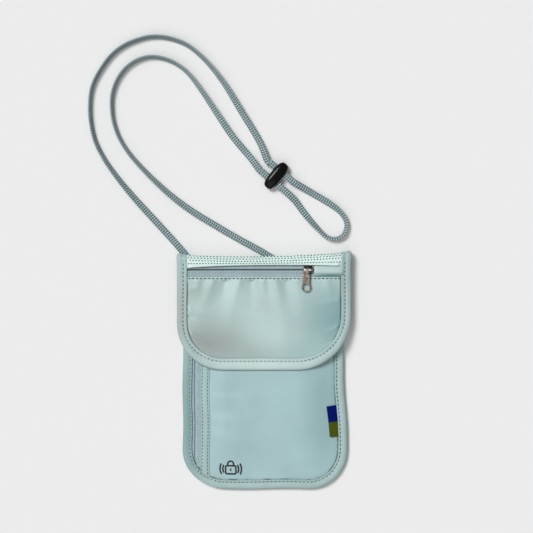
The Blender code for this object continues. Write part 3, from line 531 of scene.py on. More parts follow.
# x and y in millimetres and roll in degrees. The signs of the roll keep the outer edge raised.
OUTER_RUN = [
    (-68.9, 100.7, 0), (-79.1, 112.1, 8), (-94.1, 128.5, 14), (-110.5, 146.5, 34), (-124.0, 163.0, 52),
    (-134.5, 178.0, 60), (-142.0, 192.9, 66), (-145.7, 207.9, 70), (-146.7, 222.8, 72), (-145.0, 237.8, 72),
    (-138.9, 251.3, 72), (-128.5, 265.5, 70), (-116.6, 274.4, 68), (-101.6, 280.0, 66), (-91.1, 281.2, 66),
    (-79.1, 279.7, 66), (-64.2, 273.8, 66), (-49.2, 261.0, 62), (-34.2, 242.3, 50), (-19.3, 218.4, 26),
    (-4.3, 193.6, 6),
]
LOOP_RUN = [
    (26.2, 157.9, 0), (40.6, 149.5, 6), (55.6, 140.5, 26), (64.5, 133.1, 52), (69.1, 124.1, 66),
    (67.0, 115.1, 70), (60.1, 111.2, 70), (52.0, 113.2, 62), (43.6, 121.1, 44), (34.6, 131.5, 18),
    (25.6, 143.5, 2),
]
INNER_RUN = [
    (-11.8, 179.5, 0), (-26.7, 197.4, -18), (-40.2, 216.9, -42), (-52.2, 234.8, -58), (-64.2, 250.5, -66),
    (-76.1, 259.5, -70), (-89.6, 263.9, -72), (-101.6, 263.3, -72), (-113.6, 257.2, -72),
    (-122.5, 246.8, -72), (-127.7, 233.3, -72), (-128.2, 219.9, -72), (-126.3, 207.9, -70),
    (-121.0, 194.4, -66), (-112.0, 180.9, -60), (-97.0, 164.5, -50), (-79.1, 148.0, -34),
    (-61.2, 134.6, -18), (-41.7, 122.6, -8), (-22.3, 111.3, -2), (-2.6, 100.6, 0),
]
LEFT_TAIL = [(-59.6, 88.9, 0), (-62.3, 92.4, 0), (-65.6, 96.6, 0)]
RIGHT_TAIL = [
    (3.2, 97.0, 0), (12.0, 92.4, 0), (22.0, 89.3, 0), (33.0, 88.1, 0), (44.0, 88.2, 0), (54.0, 90.0, 0),
]

lock_low, lock_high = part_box("cord_lock")
lock_centre = (np.array(lock_low) + np.array(lock_high)) / 2
LOCK_TURN = math.radians(50.4)
LOCK_HOLE_OFFSET = 5.2
lock_way = np.array([math.cos(LOCK_TURN), math.sin(LOCK_TURN)])
lock_through = np.array([math.sin(LOCK_TURN), -math.cos(LOCK_TURN)])


def lock_passage(side):
    """The straight stretch through one slot: the lock's centre, moved along its length, then across it."""
    middle = lock_centre[:2] / MM + lock_way * LOCK_HOLE_OFFSET * side
    return [(*(middle + lock_through * reach), 0) for reach in (-14.5, -10.0, -4.0, 4.0, 10.0, 14.5)]


whole_route = (
    LEFT_TAIL + OUTER_RUN + lock_passage(1.0) + LOOP_RUN + lock_passage(-1.0)[::-1] + INNER_RUN + RIGHT_TAIL
)
CORD_STATIONS = 2400
cord_line = smooth_line(np.array(whole_route, float), CORD_STATIONS)
cord_roll = np.radians(cord_line[:, 2])
cord_xy = cord_line[:, :2] * MM

# The lowest side touches the table, except in the lock, where the slots hold the cord at mid height.
rest_height = CORD_WIDTH / 2 * np.abs(np.sin(cord_roll)) + CORD_THICK / 2 * np.cos(cord_roll)
to_lock = np.linalg.norm(cord_xy - lock_centre[:2], axis=1)
held_up = 1.0 - ramp(to_lock, 15.0, 20.0)
cord_height = rest_height + (lock_centre[2] - CORD_THICK / 2) * held_up * np.cos(cord_roll)
cord_path = np.column_stack([cord_xy, cord_height])
cord_length = float(along(cord_path)[-1])
print("cord is", round(cord_length, 3), "m long")

# %% Cord mesh
CORD_RING = 38
BRAID_PITCH = 2.05 * MM
BRAID_ROW = 1.9 * MM


def braid_section(s, around):
    """Across and height of the braid: a rounded flat shape with a groove along its middle, whose yarns
    rise as a cosine along the cord that is shifted sideways into a row of Vs."""
    across = np.sign(np.cos(around)) * np.abs(np.cos(around)) ** 0.75 * CORD_WIDTH / 2
    rise = np.sign(np.sin(around)) * np.abs(np.sin(around)) ** 0.6 * CORD_THICK / 2
    groove = 1.0 - 0.38 * bell(across, 0.0, 0.55 * MM)
    vee = np.abs(((across / BRAID_ROW) % 1.0) - 0.5)
    yarn = np.cos(2 * math.pi * (s / BRAID_PITCH + vee))
    column = np.cos(2 * math.pi * across / BRAID_ROW)
    swell = 1.0 + 0.14 * yarn + 0.12 * column
    edge = 1.0 + 0.05 * yarn
    return across * edge, rise * groove * swell


cord_s = along(cord_path)
around = np.linspace(0.0, 2 * math.pi, CORD_RING, endpoint=False)
wide, tall = braid_section(cord_s[:, None], around[None, :])
end_taper = np.minimum(1.0, 0.35 + np.minimum(cord_s, cord_length - cord_s) / (2.0 * MM))[:, None]
cord_way = unit(np.gradient(cord_path, axis=0))
flat_way = unit(cord_way * (1.0, 1.0, 0.0))
beside = np.column_stack([-flat_way[:, 1], flat_way[:, 0], np.zeros(CORD_STATIONS)])
upward = np.array([0.0, 0.0, 1.0])
width_way = np.cos(cord_roll)[:, None] * beside + np.sin(cord_roll)[:, None] * upward
thick_way = -np.sin(cord_roll)[:, None] * beside + np.cos(cord_roll)[:, None] * upward
cord_points = (
    cord_path[:, None]
    + (wide * end_taper)[..., None] * width_way[:, None]
    + (tall * end_taper)[..., None] * thick_way[:, None]
)
cord_points[..., 2] = np.maximum(cord_points[..., 2], 0.02 * MM)
cord_uv = np.stack(np.broadcast_arrays(cord_s[:, None], wide), axis=-1)

braid, braid_tree, braid_shader = new_finish("cord_braid_yarn", CORD_FINISH, 0.72, Sheen_Weight=0.15)
spot = coordinates(braid_tree, "UV")
split = add_node(braid_tree, "ShaderNodeSeparateXYZ", {"Vector": spot})
lengthways = calculated(braid_tree, "MULTIPLY", split.outputs["X"], 2 * math.pi / BRAID_PITCH)
row_place = calculated(braid_tree, "PINGPONG", split.outputs["Y"], BRAID_ROW)
row_phase = calculated(braid_tree, "MULTIPLY", row_place, 0.7 * math.pi / BRAID_ROW)
yarn_wave = calculated(braid_tree, "SINE", calculated(braid_tree, "ADD", lengthways, row_phase))
row_edge = calculated(braid_tree, "SUBTRACT", row_place, BRAID_ROW / 2)
row_middle = calculated(braid_tree, "ABSOLUTE", row_edge)
row_gap = spread_range(braid_tree, row_middle, 0.26 * BRAID_ROW, 0.48 * BRAID_ROW, 1.0, 0.05)
yarn_rise = spread_range(braid_tree, yarn_wave, -0.95, 0.15)
yarn_light = calculated(braid_tree, "MULTIPLY", yarn_rise, row_gap)
# Painted light and shade on the braid: the yarn crests get a light copy of the cord's colour and the hollows
# between yarns and rows a dark one, by the same height that bumps them.
yarn_light_and_shade = blend_colours(braid_tree, yarn_light, shade(CORD_FINISH, 0.08), shade(CORD_FINISH, 2.0))
mottle = spread_range(braid_tree, noise(braid_tree, spot, 90.0), 0.35, 0.65, 0.0, 0.3)
yarn_colour = blend_colours(braid_tree, mottle, yarn_light_and_shade, shade(CORD_FINISH, 0.7))
braid_tree.links.new(yarn_colour, braid_shader.inputs["Base Color"])
raised(braid_tree, braid_shader, yarn_light, 0.2 * MM)

neck_braid = place("neck_braid", closed_grid("neck_braid", cord_points, cord_uv, caps=True), braid,
                   "pouch")
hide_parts("neck_cord", "cord_tail_left", "cord_tail_right")
print("cord braid has", len(neck_braid.data.polygons), "faces")

# %% [markdown]
# ## The cord lock
#
# The lock is a bean-shaped plastic bead with two slots. Both runs of the cord pass through it and are held by
# friction. The bead is a superellipsoid: a sphere whose sines and cosines are raised to a power under one,
# which squares it off. The slots are cut by rounded blocks with the Boolean modifier, and the result is kept.


# %% Cord lock
def power(value, exponent):
    """A sine or cosine raised to a power with its sign kept."""
    return np.sign(value) * np.abs(value) ** exponent


def superellipsoid(half_sizes, squareness, rows=40, columns=72):
    """A squared-off ball: x = a.cos^e(v).cos^f(u), y = b.cos^e(v).sin^f(u), z = c.sin^e(v)."""
    v = np.linspace(-math.pi / 2, math.pi / 2, rows + 2)[1:-1, None]
    u = np.linspace(0.0, 2 * math.pi, columns, endpoint=False)[None, :]
    upright, level = squareness
    a, b, c = half_sizes
    x = a * power(np.cos(v), upright) * power(np.cos(u), level)
    y = b * power(np.cos(v), upright) * power(np.sin(u), level)
    z = c * power(np.sin(v), upright) * np.ones_like(u)
    return np.stack([x, y, z], axis=-1)


def turned(points, turn, shift):
    """Points turned about Z by an angle and then moved."""
    cosine, sine = math.cos(turn), math.sin(turn)
    spin = np.array([[cosine, sine, 0.0], [-sine, cosine, 0.0], [0.0, 0.0, 1.0]])
    return points @ spin + np.asarray(shift)


def cut(target, cutters):
    """Cut closed meshes from a target with Booleans, and keep the evaluated result as its mesh."""
    for number, cutter_mesh in enumerate(cutters):
        tool = bpy.data.objects.new(f"cutter_{number}", cutter_mesh)
        bpy.context.collection.objects.link(tool)
        step = target.modifiers.new("slot", "BOOLEAN")
        step.operation = "DIFFERENCE"
        step.solver = "EXACT"
        step.object = tool
    bpy.context.view_layer.update()
    kept = bpy.data.meshes.new_from_object(target.evaluated_get(bpy.context.evaluated_depsgraph_get()))
    for step in list(target.modifiers):
        tool = step.object
        target.modifiers.remove(step)
        bpy.data.objects.remove(tool, do_unlink=True)
    target.data = kept


lock_plastic = grained("lock_plastic_gloss", tint(5, 5, 6), 0.24, 900.0, 0.02 * MM, Specular_IOR_Level=0.2)

LOCK_HALF = (12.9 * MM, 5.3 * MM, 4.3 * MM)
bead = superellipsoid(LOCK_HALF, (0.75, 0.66), 64, 120)
lock_bead = place("lock_bead", closed_grid("lock_bead", turned(bead, LOCK_TURN, lock_centre), caps=True),
                  lock_plastic)
slot_meshes = []
for side in (-1.0, 1.0):
    block = superellipsoid((3.45 * MM, 8.0 * MM, 1.25 * MM), (0.3, 0.3), 24, 48)
    middle = lock_centre + np.array([*lock_way, 0.0]) * LOCK_HOLE_OFFSET * MM * side
    slot_meshes.append(closed_grid("slot_tool", turned(block, LOCK_TURN, middle), caps=True))
cut(lock_bead, slot_meshes)
lock_bead.data.shade_smooth()
lock_bead.data.set_sharp_from_angle(angle=math.radians(40.0))
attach(lock_bead, "cord_lock")
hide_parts("cord_lock")
print("lock is", round(2000 * LOCK_HALF[0], 1), "mm long")

# %% [markdown]
# ## Outlines and layers
#
# The body and the flap are both U shapes: two straight sides, a straight hem and two round corners. One
# formula gives the distance of any point from that edge, and the height of every layer is worked out from it:
# thin at the binding and fuller towards the middle, as a flat bag is. The cloth never lies perfectly true, so
# a last small shift lets the sides wander by about a millimetre.


# %% Outlines
def edge_distance(x, y, half, bottom, corners):
    """Distance inwards from a U: the nearer of side and hem, or the radius minus the distance to the
    corner's centre."""
    corner = np.where(x > 0.0, corners[1], corners[0])
    across = np.abs(x) - (half - corner)
    down = bottom + corner - y
    straight = np.minimum(half - np.abs(x), y - bottom)
    return np.where((across > 0.0) & (down > 0.0), corner - np.hypot(across, down), straight)


def u_line(half, bottom, corners, top, spacing):
    """Points down the left side, round the hem and up the right side, with the direction inwards at each:
    on an arc it is (cos a, sin a), and the point is the arc's centre minus the radius times that."""
    left, right = corners
    quarter = math.pi / 2
    parts = np.array([top - bottom - left, quarter * left, 2 * half - left - right, quarter * right,
                      top - bottom - right])
    starts = np.concatenate([[0.0], np.cumsum(parts)])
    s = np.linspace(0.0, starts[-1], int(starts[-1] / spacing))
    part = np.clip(np.searchsorted(starts, s, side="right") - 1, 0, 4)
    rest = s - starts[part]
    turn = np.select([part == 0, part == 1, part == 2, part == 3], [0.0, rest / left, quarter,
                     quarter + rest / right], math.pi)
    inward = np.column_stack([np.cos(turn), np.sin(turn)])
    radius = np.where(turn > quarter, right, left)
    centre_x = np.where(turn > quarter, half - right, left - half) + np.where(part == 2, rest, 0.0)
    centre_y = bottom + radius
    centre_y = np.where(part == 0, top - rest, centre_y)
    centre_y = np.where(part == 4, bottom + right + rest, centre_y)
    points = np.column_stack([centre_x, centre_y]) - radius[:, None] * inward
    return points, inward, s


def reach_at(y, half, bottom, corner):
    """Half width of the U at height y: on the corner it is half - r + sqrt(r^2 - drop^2)."""
    drop = np.clip(bottom + corner - y, 0.0, corner)
    return half - corner + np.sqrt(corner * corner - drop * drop)


def u_panel(half, bottom, corners, top, inset, size, left_limit=None):
    """Grid that fills a U from hem to top, drawn in by inset. Rows crowd round the corners by a cosine."""
    low = bottom + inset
    radius = max(corners) - inset
    bent = low + radius * (1.0 - np.cos(np.linspace(0.0, math.pi / 2, int(1.57 * radius / size))))
    straight = np.linspace(low + radius, top, int((top - low - radius) / size) + 2)[1:]
    rows = np.concatenate([bent, straight])
    left, right = (reach_at(rows, half - inset, low, corner - inset) for corner in corners)
    left = -left if left_limit is None else np.maximum(-left, left_limit)
    share = np.linspace(0.0, 1.0, int(2 * half / size))
    x = left[:, None] + (right - left)[:, None] * share
    return x, np.broadcast_to(rows[:, None], x.shape)


def settle_body(points):
    """Let the body's sides wander: the right side goes in under the flap and out towards the hem."""
    x, y, z = points[..., 0], points[..., 1], points[..., 2]
    to_right = ramp(x, -15.0, 75.0)
    sway = -1.5 * MM + 3.0 * MM * ramp(-4.0 * MM - y, 0.0, 52.0)
    left_wave = 0.35 * MM * np.sin(y / (9.5 * MM)) * (1.0 - to_right)
    hem_wave = 0.35 * MM * np.sin(x / (10.5 * MM)) * ramp(-70.0 * MM - y, 0.0, 25.0)
    return np.stack([x + sway * to_right + left_wave, y + hem_wave, z], axis=-1)


def settle_flap(points):
    """Let the flap's top edge sag in the middle and rise to the right, and spread its sides a little."""
    x, y, z = points[..., 0], points[..., 1], points[..., 2]
    share = ramp(y, 87.5, 8.0)
    sag = -2.3 * MM + 2.6 * MM * (np.abs(x) / FLAP_HALF) ** 2.2 + 1.1 * MM * x / FLAP_HALF
    spread = 1.006 + 0.006 * share
    return np.stack([x * spread - 0.1 * MM, y + sag * share, z], axis=-1)


# %% Layer heights
SEEN_BOTTOM = BODY_BOTTOM - 0.8 * MM
EDGE_TOP = front_low[2] + 0.7 * MM
LINING_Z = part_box("flap_lining")[1][2] - 0.3 * MM
FLAP_TOP_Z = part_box("flap_lower_panel")[1][2]
PATCH_Y = 16.0 * MM
DROOP_FROM = 62.0 * MM
FLAP_DROOP = 2.5 * MM
# Dents of the front: where each is, how wide it is along x and y, and how deep, all in millimetres.
FRONT_DENTS = [
    (-34.0, -17.0, 16.0, 2.6, -0.22), (-33.0, -22.5, 17.0, 2.8, 0.22), (-34.0, -34.0, 16.0, 3.2, -0.28),
    (-33.0, -41.0, 16.0, 3.2, 0.26), (-32.0, -49.5, 15.0, 3.4, -0.2), (-20.0, -60.0, 16.0, 10.0, 0.3),
    (20.0, -40.0, 20.0, 16.0, -0.3), (44.0, -62.0, 9.0, 12.0, 0.35), (40.0, -14.0, 10.0, 7.0, 0.3),
]


def body_distance(x, y):
    """Distance inwards from the body's edge."""
    return edge_distance(x, y, BODY_HALF, SEEN_BOTTOM, BODY_CORNERS)


def hem_top(x, y):
    """Top of what lies under the body's binding."""
    return EDGE_TOP + 1.5 * MM * ramp(body_distance(x, y), 0.0, 12.0)


def front_top(x, y):
    """Top of the front panel: its edge, the swell of the pocket, the dip under the loop patch, and a few
    soft dents, each a bell along x times a bell along y."""
    inwards = body_distance(x, y)
    from_left, from_right, from_hem = BODY_HALF + x, BODY_HALF - x, y - SEEN_BOTTOM
    swell = 3.2 * MM * ramp(from_left, 15.0, 22.0)
    swell = swell * ramp(from_right, 7.0, 34.0) * ramp(from_hem, 7.0, 45.0)
    beside = ramp(np.abs(x), 27.0, 8.0)
    above = ramp(np.abs(y - PATCH_Y), 9.0, 8.0)
    dents = np.zeros_like(x + y)
    for centre_x, centre_y, wide_x, wide_y, deep in FRONT_DENTS:
        dents += deep * MM * bell(x, centre_x * MM, wide_x * MM) * bell(y, centre_y * MM, wide_y * MM)
    dents *= ramp(inwards, 8.5, 8.0) * ramp(x, -45.0, 3.0)
    return hem_top(x, y) + swell - 1.1 * MM * (1.0 - beside) * (1.0 - above) + dents


def back_under(x, y):
    """Underside of the back panel: flat, tucked up into its binding and lifted over the cord's ends."""
    tuck = 0.8 * MM * (1.0 - ramp(body_distance(x, y), 7.2, 6.0))
    return tuck + 2.1 * MM * ramp(y - MOUTH_Y, 0.0, 12.0)


def flap_droop(x):
    """How far down the flap's sides have come, from 0 to 1."""
    return ease((np.abs(x) - DROOP_FROM) / (FLAP_HALF - DROOP_FROM))


def flap_top(x, y):
    """Top of the flap's outer cloth, which comes down at the sides and the hem."""
    hem = 1.4 * MM * (1.0 - ramp(y - FLAP_BOTTOM, 0.0, 14.0))
    return FLAP_TOP_Z - np.maximum(hem, FLAP_DROOP * flap_droop(x))


def flap_under(x, y):
    """Underside of the flap's lining."""
    return LINING_Z - 1.6 * MM * flap_droop(x) + 0.0 * y


# %% [markdown]
# ## Stitches and teeth
#
# A stitch and a zip tooth are both small rounded beads, repeated hundreds of times. One bead has 32 points.
# All the beads of a row are made at once: every centre plus the bead's points, stretched along three axes.


# %% Beads
STITCH_PITCH = 3.4 * MM


def bead_shape(rings=5, sides=6):
    """A small sausage from x = -1 to 1: rings of radius sqrt(1 - |x|^2.6), closed by a point at each end."""
    x = np.linspace(-1.0, 1.0, rings + 2)[1:-1]
    radius = np.sqrt(1.0 - np.abs(x) ** 2.6)
    a = np.linspace(0.0, 2 * math.pi, sides, endpoint=False)
    ring = np.stack([np.repeat(x, sides), np.outer(radius, np.cos(a)).ravel(),
                     np.outer(radius, np.sin(a)).ravel()], axis=-1)
    points = np.concatenate([[[-1.0, 0.0, 0.0]], ring, [[1.0, 0.0, 0.0]]])
    k = np.arange(sides)
    after = (k + 1) % sides
    last = 1 + (rings - 1) * sides
    start_fan = np.column_stack([np.zeros(sides, int), 1 + after, 1 + k])
    end_fan = np.column_stack([np.full(sides, len(points) - 1), last + k, last + after])
    return points, 1 + grid_quads(rings, sides, wrap_columns=True), np.concatenate([start_fan, end_fan])


def beads(name, middles, ways, ups, half_sizes, material, body=None, dip=0.0):
    """Beads at the middles, lying along ways, as one mesh. Their ends dip into the cloth by dip."""
    shape, quads, fans = bead_shape()
    ways = unit(ways)
    across = unit(np.cross(ups, ways))
    ups = np.cross(ways, across)
    length, breadth, height = half_sizes
    lift = shape[:, 2] * height - dip * shape[:, 0] ** 2
    points = (
        middles[:, None]
        + ways[:, None] * (shape[:, 0] * length)[None, :, None]
        + across[:, None] * (shape[:, 1] * breadth)[None, :, None]
        + ups[:, None] * lift[None, :, None]
    ).reshape(-1, 3)
    step = (np.arange(len(middles)) * len(shape))[:, None, None]
    polygons = [(quads[None] + step).reshape(-1, 4), (fans[None] + step).reshape(-1, 3)]
    if volume_sign(points[: len(shape)], [quads, fans]) < 0:
        polygons = [block[:, ::-1] for block in polygons]
    return place(name, fill_mesh(name, points, polygons), material, body)


def stitch_row(name, line, material, body=None, pitch=STITCH_PITCH, length=2.5 * MM, thread=0.26 * MM,
               up=(0.0, 0.0, 1.0)):
    """Stitches along a line, evenly spaced, each lying between two points half a stitch either side."""
    total = along(line)[-1]
    count = int(total / pitch)
    middle = (np.arange(count) + 0.5) * total / count
    start, end = at_distance(line, middle - length / 2), at_distance(line, middle + length / 2)
    ups = np.broadcast_to(np.asarray(up, float), start.shape)
    made = beads(name, (start + end) / 2, end - start, ups, (length / 2, thread, thread), material,
                 body, dip=0.22 * MM)
    print(name, "has", count, "stitches")
    return made


# %% [markdown]
# ## Back panel and linings
#
# The back lies on the table. A foil lining behind the main pocket blocks card readers, and a thinner cloth
# divides the main pocket from the zipped one. None of them shows while the flap is closed, but all three do
# when it opens.

# %% Back panel and linings
foil = grained("lining_foil", tint(124, 130, 132), 0.52, 420.0, 0.15 * MM, 4.0, Metallic=0.45)

SHEET_TOP = FOLD_Y - 0.3 * MM
panel_x, panel_y = u_panel(BODY_HALF, SEEN_BOTTOM, BODY_CORNERS, SHEET_TOP, 1.0 * MM, LINING_CELL)
sag_noise = 0.05 * MM * (1.0 + ripple(panel_x + 1.7 * panel_y, 0.4))


def settled_sheet(name, x, y, z, thick, material, body, settle=settle_body, uv=None):
    """A cloth sheet whose grid has been settled with its neighbours."""
    points = settle(np.stack([x, y, z], axis=-1))
    made = cloth_sheet(name, points, thick, material, body, uv)
    return made


back_z = back_under(panel_x, panel_y)
back_cloth = settled_sheet("back_cloth", panel_x, panel_y, back_z + 0.6 * MM, CLOTH_THICK, plain_satin,
                           "pouch")
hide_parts("back_panel")
foil_lining = settled_sheet("foil_lining", panel_x, panel_y, back_z + 1.15 * MM + sag_noise, 0.15 * MM, foil,
                            "pouch")
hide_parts("rfid_lining")

wall_x, wall_y = u_panel(BODY_HALF, SEEN_BOTTOM, BODY_CORNERS, MOUTH_Y, PANEL_INSET, LINING_CELL)
wall_z = 2.7 * MM + 0.65 * (front_top(wall_x, wall_y) - EDGE_TOP)
pocket_wall = settled_sheet("pocket_wall", wall_x, wall_y, wall_z, 0.3 * MM, plain_satin,
                            "pouch")
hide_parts("pocket_divider")

# %% [markdown]
# ## Front panel
#
# The front panel starts at the right of the side zip. Its satin is smooth, but the seams pull it into small
# dents, so the dents are bells added to the height. The strip beside the zip is a folded facing, sewn down
# along both edges.

# %% Front panel and facing
FRONT_LEFT = front_low[0]
front_x, front_y = u_panel(BODY_HALF, SEEN_BOTTOM, BODY_CORNERS, MOUTH_Y, PANEL_INSET, 0.95 * MM, FRONT_LEFT)
front_z = front_top(front_x, front_y)
front_z -= 0.35 * MM * (1.0 - ramp(front_x - FRONT_LEFT, 0.0, 1.2))
front_z += 0.25 * MM * (1.0 - ramp(MOUTH_Y - front_y, 0.0, 4.0))
front_uv = np.stack([body_distance(front_x, front_y), front_y], axis=-1)
front_cloth = settled_sheet("front_cloth", front_x, front_y, front_z, CLOTH_THICK, panel_satin,
                            "pouch", uv=front_uv)
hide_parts("front_panel")

FACING_LEFT, FACING_RIGHT = -53.1 * MM, -45.6 * MM
FACING_SEAMS = (-52.0 * MM, -47.3 * MM)
FINE_PITCH, FINE_STITCH = 2.9 * MM, 2.0 * MM
facing_low = SEEN_BOTTOM + 9.0 * MM
rows = np.linspace(facing_low, MOUTH_Y, 200)[:, None]
share = np.linspace(0.0, 1.0, 28)[None, :]
facing_x = FACING_LEFT + (FACING_RIGHT - FACING_LEFT) * share + 0.15 * MM * ripple(rows, 1.3)
facing_y = np.broadcast_to(rows, facing_x.shape)
sewn = sum(bell(facing_x, seam_x, 0.45 * MM) for seam_x in FACING_SEAMS)
rolled = 1.0 - ease(np.minimum(share, 1.0 - share) / 0.09)
puff = 0.45 * MM + 0.22 * MM * np.sin(math.pi * share) - 0.28 * MM * sewn - 0.35 * MM * rolled
pulled = 0.10 * MM * sewn * np.cos(2 * math.pi * rows / FINE_PITCH)
facing_z = front_top(facing_x, facing_y) + puff + pulled
facing = settled_sheet("zip_facing", facing_x, facing_y, facing_z, 0.4 * MM, facing_cloth,
                       "pouch")
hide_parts("side_zip_facing")
for number, column in enumerate((4, 21)):
    line = settle_body(np.stack([facing_x, facing_y, facing_z + 0.12 * MM], axis=-1))[:, column]
    stitch_row(f"facing_stitches_{number + 1}", line, thread_with_painted_shade, "pouch", FINE_PITCH,
               FINE_STITCH, 0.32 * MM)
mouth_line = settle_body(np.stack([front_x, front_y, front_z + 0.1 * MM], axis=-1))[-4, 8:-8]
stitch_row("mouth_stitches", mouth_line, thread_with_painted_shade, "pouch", FINE_PITCH, FINE_STITCH,
           0.2 * MM)

# %% [markdown]
# ## Zips
#
# A coil zip is a nylon spiral sewn to the edge of a woven tape, one on each side. Closed, their turns
# alternate across the middle line. Each turn is one bead on its own side of the line, which leaves a slit for
# the slider's web. Both zips and all four tapes come from the same two functions.


# %% Zips
coil_nylon = grained("coil_nylon", tint(158, 182, 190), 0.42, 1500.0, 0.03 * MM)
TOOTH_PITCH = 1.2 * MM
TOOTH_HALF = (0.9 * MM, 0.42 * MM, 0.5 * MM)
TOOTH_OFFSET = 1.5 * MM


def coil(name, start, end, side, material, body, shift):
    """Turns of one spiral: beads across the zip, centred beside its middle line, a pitch apart."""
    start, end = np.array(start), np.array(end)
    length = np.linalg.norm(end - start)
    way = (end - start) / length
    count = int(length / TOOTH_PITCH)
    middles = start + way * ((np.arange(count) + 0.5 + shift) * TOOTH_PITCH)[:, None]
    across = np.cross([0.0, 0.0, 1.0], way) * side
    middles = middles + across * TOOTH_OFFSET
    ways = np.broadcast_to(across + 0.12 * way, middles.shape)
    ups = np.broadcast_to([0.0, 0.0, 1.0], middles.shape)
    return beads(name, middles, ways, ups, TOOTH_HALF, material, body)


def tape(name, start, end, inner, outer, low_z, high_z, body, node):
    """A woven tape along a zip, between two distances to one side of it. It lies high over the coil and comes
    down away from it: low + (high - low) times an eased step. Fine ribs run across it."""
    start, end = np.array(start), np.array(end)
    length = np.linalg.norm(end - start)
    way = (end - start) / length
    across = np.array([-way[1], way[0]])
    along_zip = np.linspace(0.0, length, int(length / (0.3 * MM)))[:, None]
    offset = np.linspace(inner, outer, 12)[None, :]
    x = start[0] + way[0] * along_zip + across[0] * offset
    y = start[1] + way[1] * along_zip + across[1] * offset
    reach = np.abs(offset)
    over = 1.0 - ramp(reach, 1.7, 1.4)
    rim = ease((reach - min(abs(inner), abs(outer))) / (0.35 * MM))
    ribs = 0.07 * MM * np.cos(2 * math.pi * along_zip / TOOTH_PITCH)
    height = low_z + (high_z - low_z) * over + ribs * rim - 0.2 * MM * (1.0 - rim)
    if (inner < outer) == (across[0] * way[1] - across[1] * way[0] < 0.0):
        x, y, height, offset = x[:, ::-1], y[:, ::-1], height[:, ::-1], offset[:, ::-1]
    uv = np.stack(np.broadcast_arrays(along_zip, offset), axis=-1)
    settle = settle_body if body == "pouch" else (lambda points: points)
    made = settled_sheet(name, x, y, height, 0.25 * MM, zip_tape_weave, body, settle, uv)
    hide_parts(node)


side_low, side_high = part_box("side_zip_coil_left")
SIDE_X = (side_high[0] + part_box("side_zip_coil_right")[0][0]) / 2
SIDE_Z = (side_low[2] + side_high[2]) / 2
SIDE_ZIP_LOW = -81.0 * MM
for which, side, shift in (("left", 1.0, 0.0), ("right", -1.0, 0.5)):
    spiral = coil(f"side_spiral_{which}", (SIDE_X, SIDE_ZIP_LOW, SIDE_Z), (SIDE_X, side_high[1], SIDE_Z),
                  side, coil_nylon, "pouch", shift)
    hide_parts(f"side_zip_coil_{which}")
    tape_low, tape_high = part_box(f"side_zip_tape_{which}")
    far = tape_low[0] - SIDE_X if which == "left" else tape_high[0] - SIDE_X
    near = math.copysign(1.0 * MM, far)
    tape(f"side_tape_{which}", (SIDE_X, tape_high[1]), (SIDE_X, SIDE_ZIP_LOW), near, far,
         tape_high[2] + 0.3 * MM, SIDE_Z + 0.35 * MM, "pouch", f"side_zip_tape_{which}")

flap_coil_low, flap_coil_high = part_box("flap_zip_coil_lower")
ZIP_Y = (flap_coil_high[1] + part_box("flap_zip_coil_upper")[0][1]) / 2
ZIP_Z = (flap_coil_low[2] + flap_coil_high[2]) / 2
TAPE_OVERRUN = 3.0 * MM
for which, side, shift in (("upper", 1.0, 0.0), ("lower", -1.0, 0.5)):
    spiral = coil(f"flap_spiral_{which}", (flap_coil_low[0], ZIP_Y, ZIP_Z), (flap_coil_high[0], ZIP_Y, ZIP_Z),
                  side, coil_nylon, "flap", shift)
    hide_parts(f"flap_zip_coil_{which}")
    tape_low, tape_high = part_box(f"flap_zip_tape_{which}")
    far = tape_high[1] - ZIP_Y if which == "upper" else tape_low[1] - ZIP_Y
    near = math.copysign(0.65 * MM, far)
    tape(f"flap_tape_{which}", (tape_low[0] - TAPE_OVERRUN, ZIP_Y), (tape_high[0] + TAPE_OVERRUN, ZIP_Y),
         near, far, tape_high[2], ZIP_Z + 0.72 * MM, "flap", f"flap_zip_tape_{which}")

# %% [markdown]
# ## Flap
#
# The flap is a flat pocket: a lining below, and above it a satin panel and a band with the zip between them.
# The zip's seam gathers the satin a little, so soft folds run down from it and die out. Each is a bell across
# the fold times a fading exponential along it. This light cloth is shaped by formula and not by simulation,
# because its seams hold it nearly flat.

# %% Flap lining
WINDOW_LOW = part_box("flap_lower_panel")[1][1]
SEAM_Y = WINDOW_LOW - 1.9 * MM
lining_x, lining_y = u_panel(FLAP_HALF, FLAP_BOTTOM, FLAP_CORNERS, SHEET_TOP, PANEL_INSET, LINING_CELL)
lining_z = flap_under(lining_x, lining_y) + 0.3 * MM
flap_inside = settled_sheet("flap_inside", lining_x, lining_y, lining_z, 0.25 * MM, plain_satin,
                            "flap", settle_flap)
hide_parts("flap_lining")

# %% Flap satin
# Folds from the zip seam: x where each starts, slant, half width, height and how far it runs, in millimetres.
SEAM_FOLDS = [
    (-55.0, -0.1, 2.6, 0.35, 10.0), (-42.0, -0.35, 3.2, 0.75, 17.0), (-32.0, -0.2, 3.0, -0.55, 13.0),
    (-20.0, -0.25, 3.0, 0.75, 15.0), (-11.0, 0.0, 3.0, -0.5, 12.0), (-1.0, 0.1, 2.2, 0.35, 9.0),
    (9.0, 0.18, 3.4, 0.8, 22.0), (18.0, 0.15, 3.2, -0.4, 13.0), (27.0, 0.2, 3.0, 0.4, 10.0),
    (52.0, 0.2, 3.2, 0.3, 12.0),
]
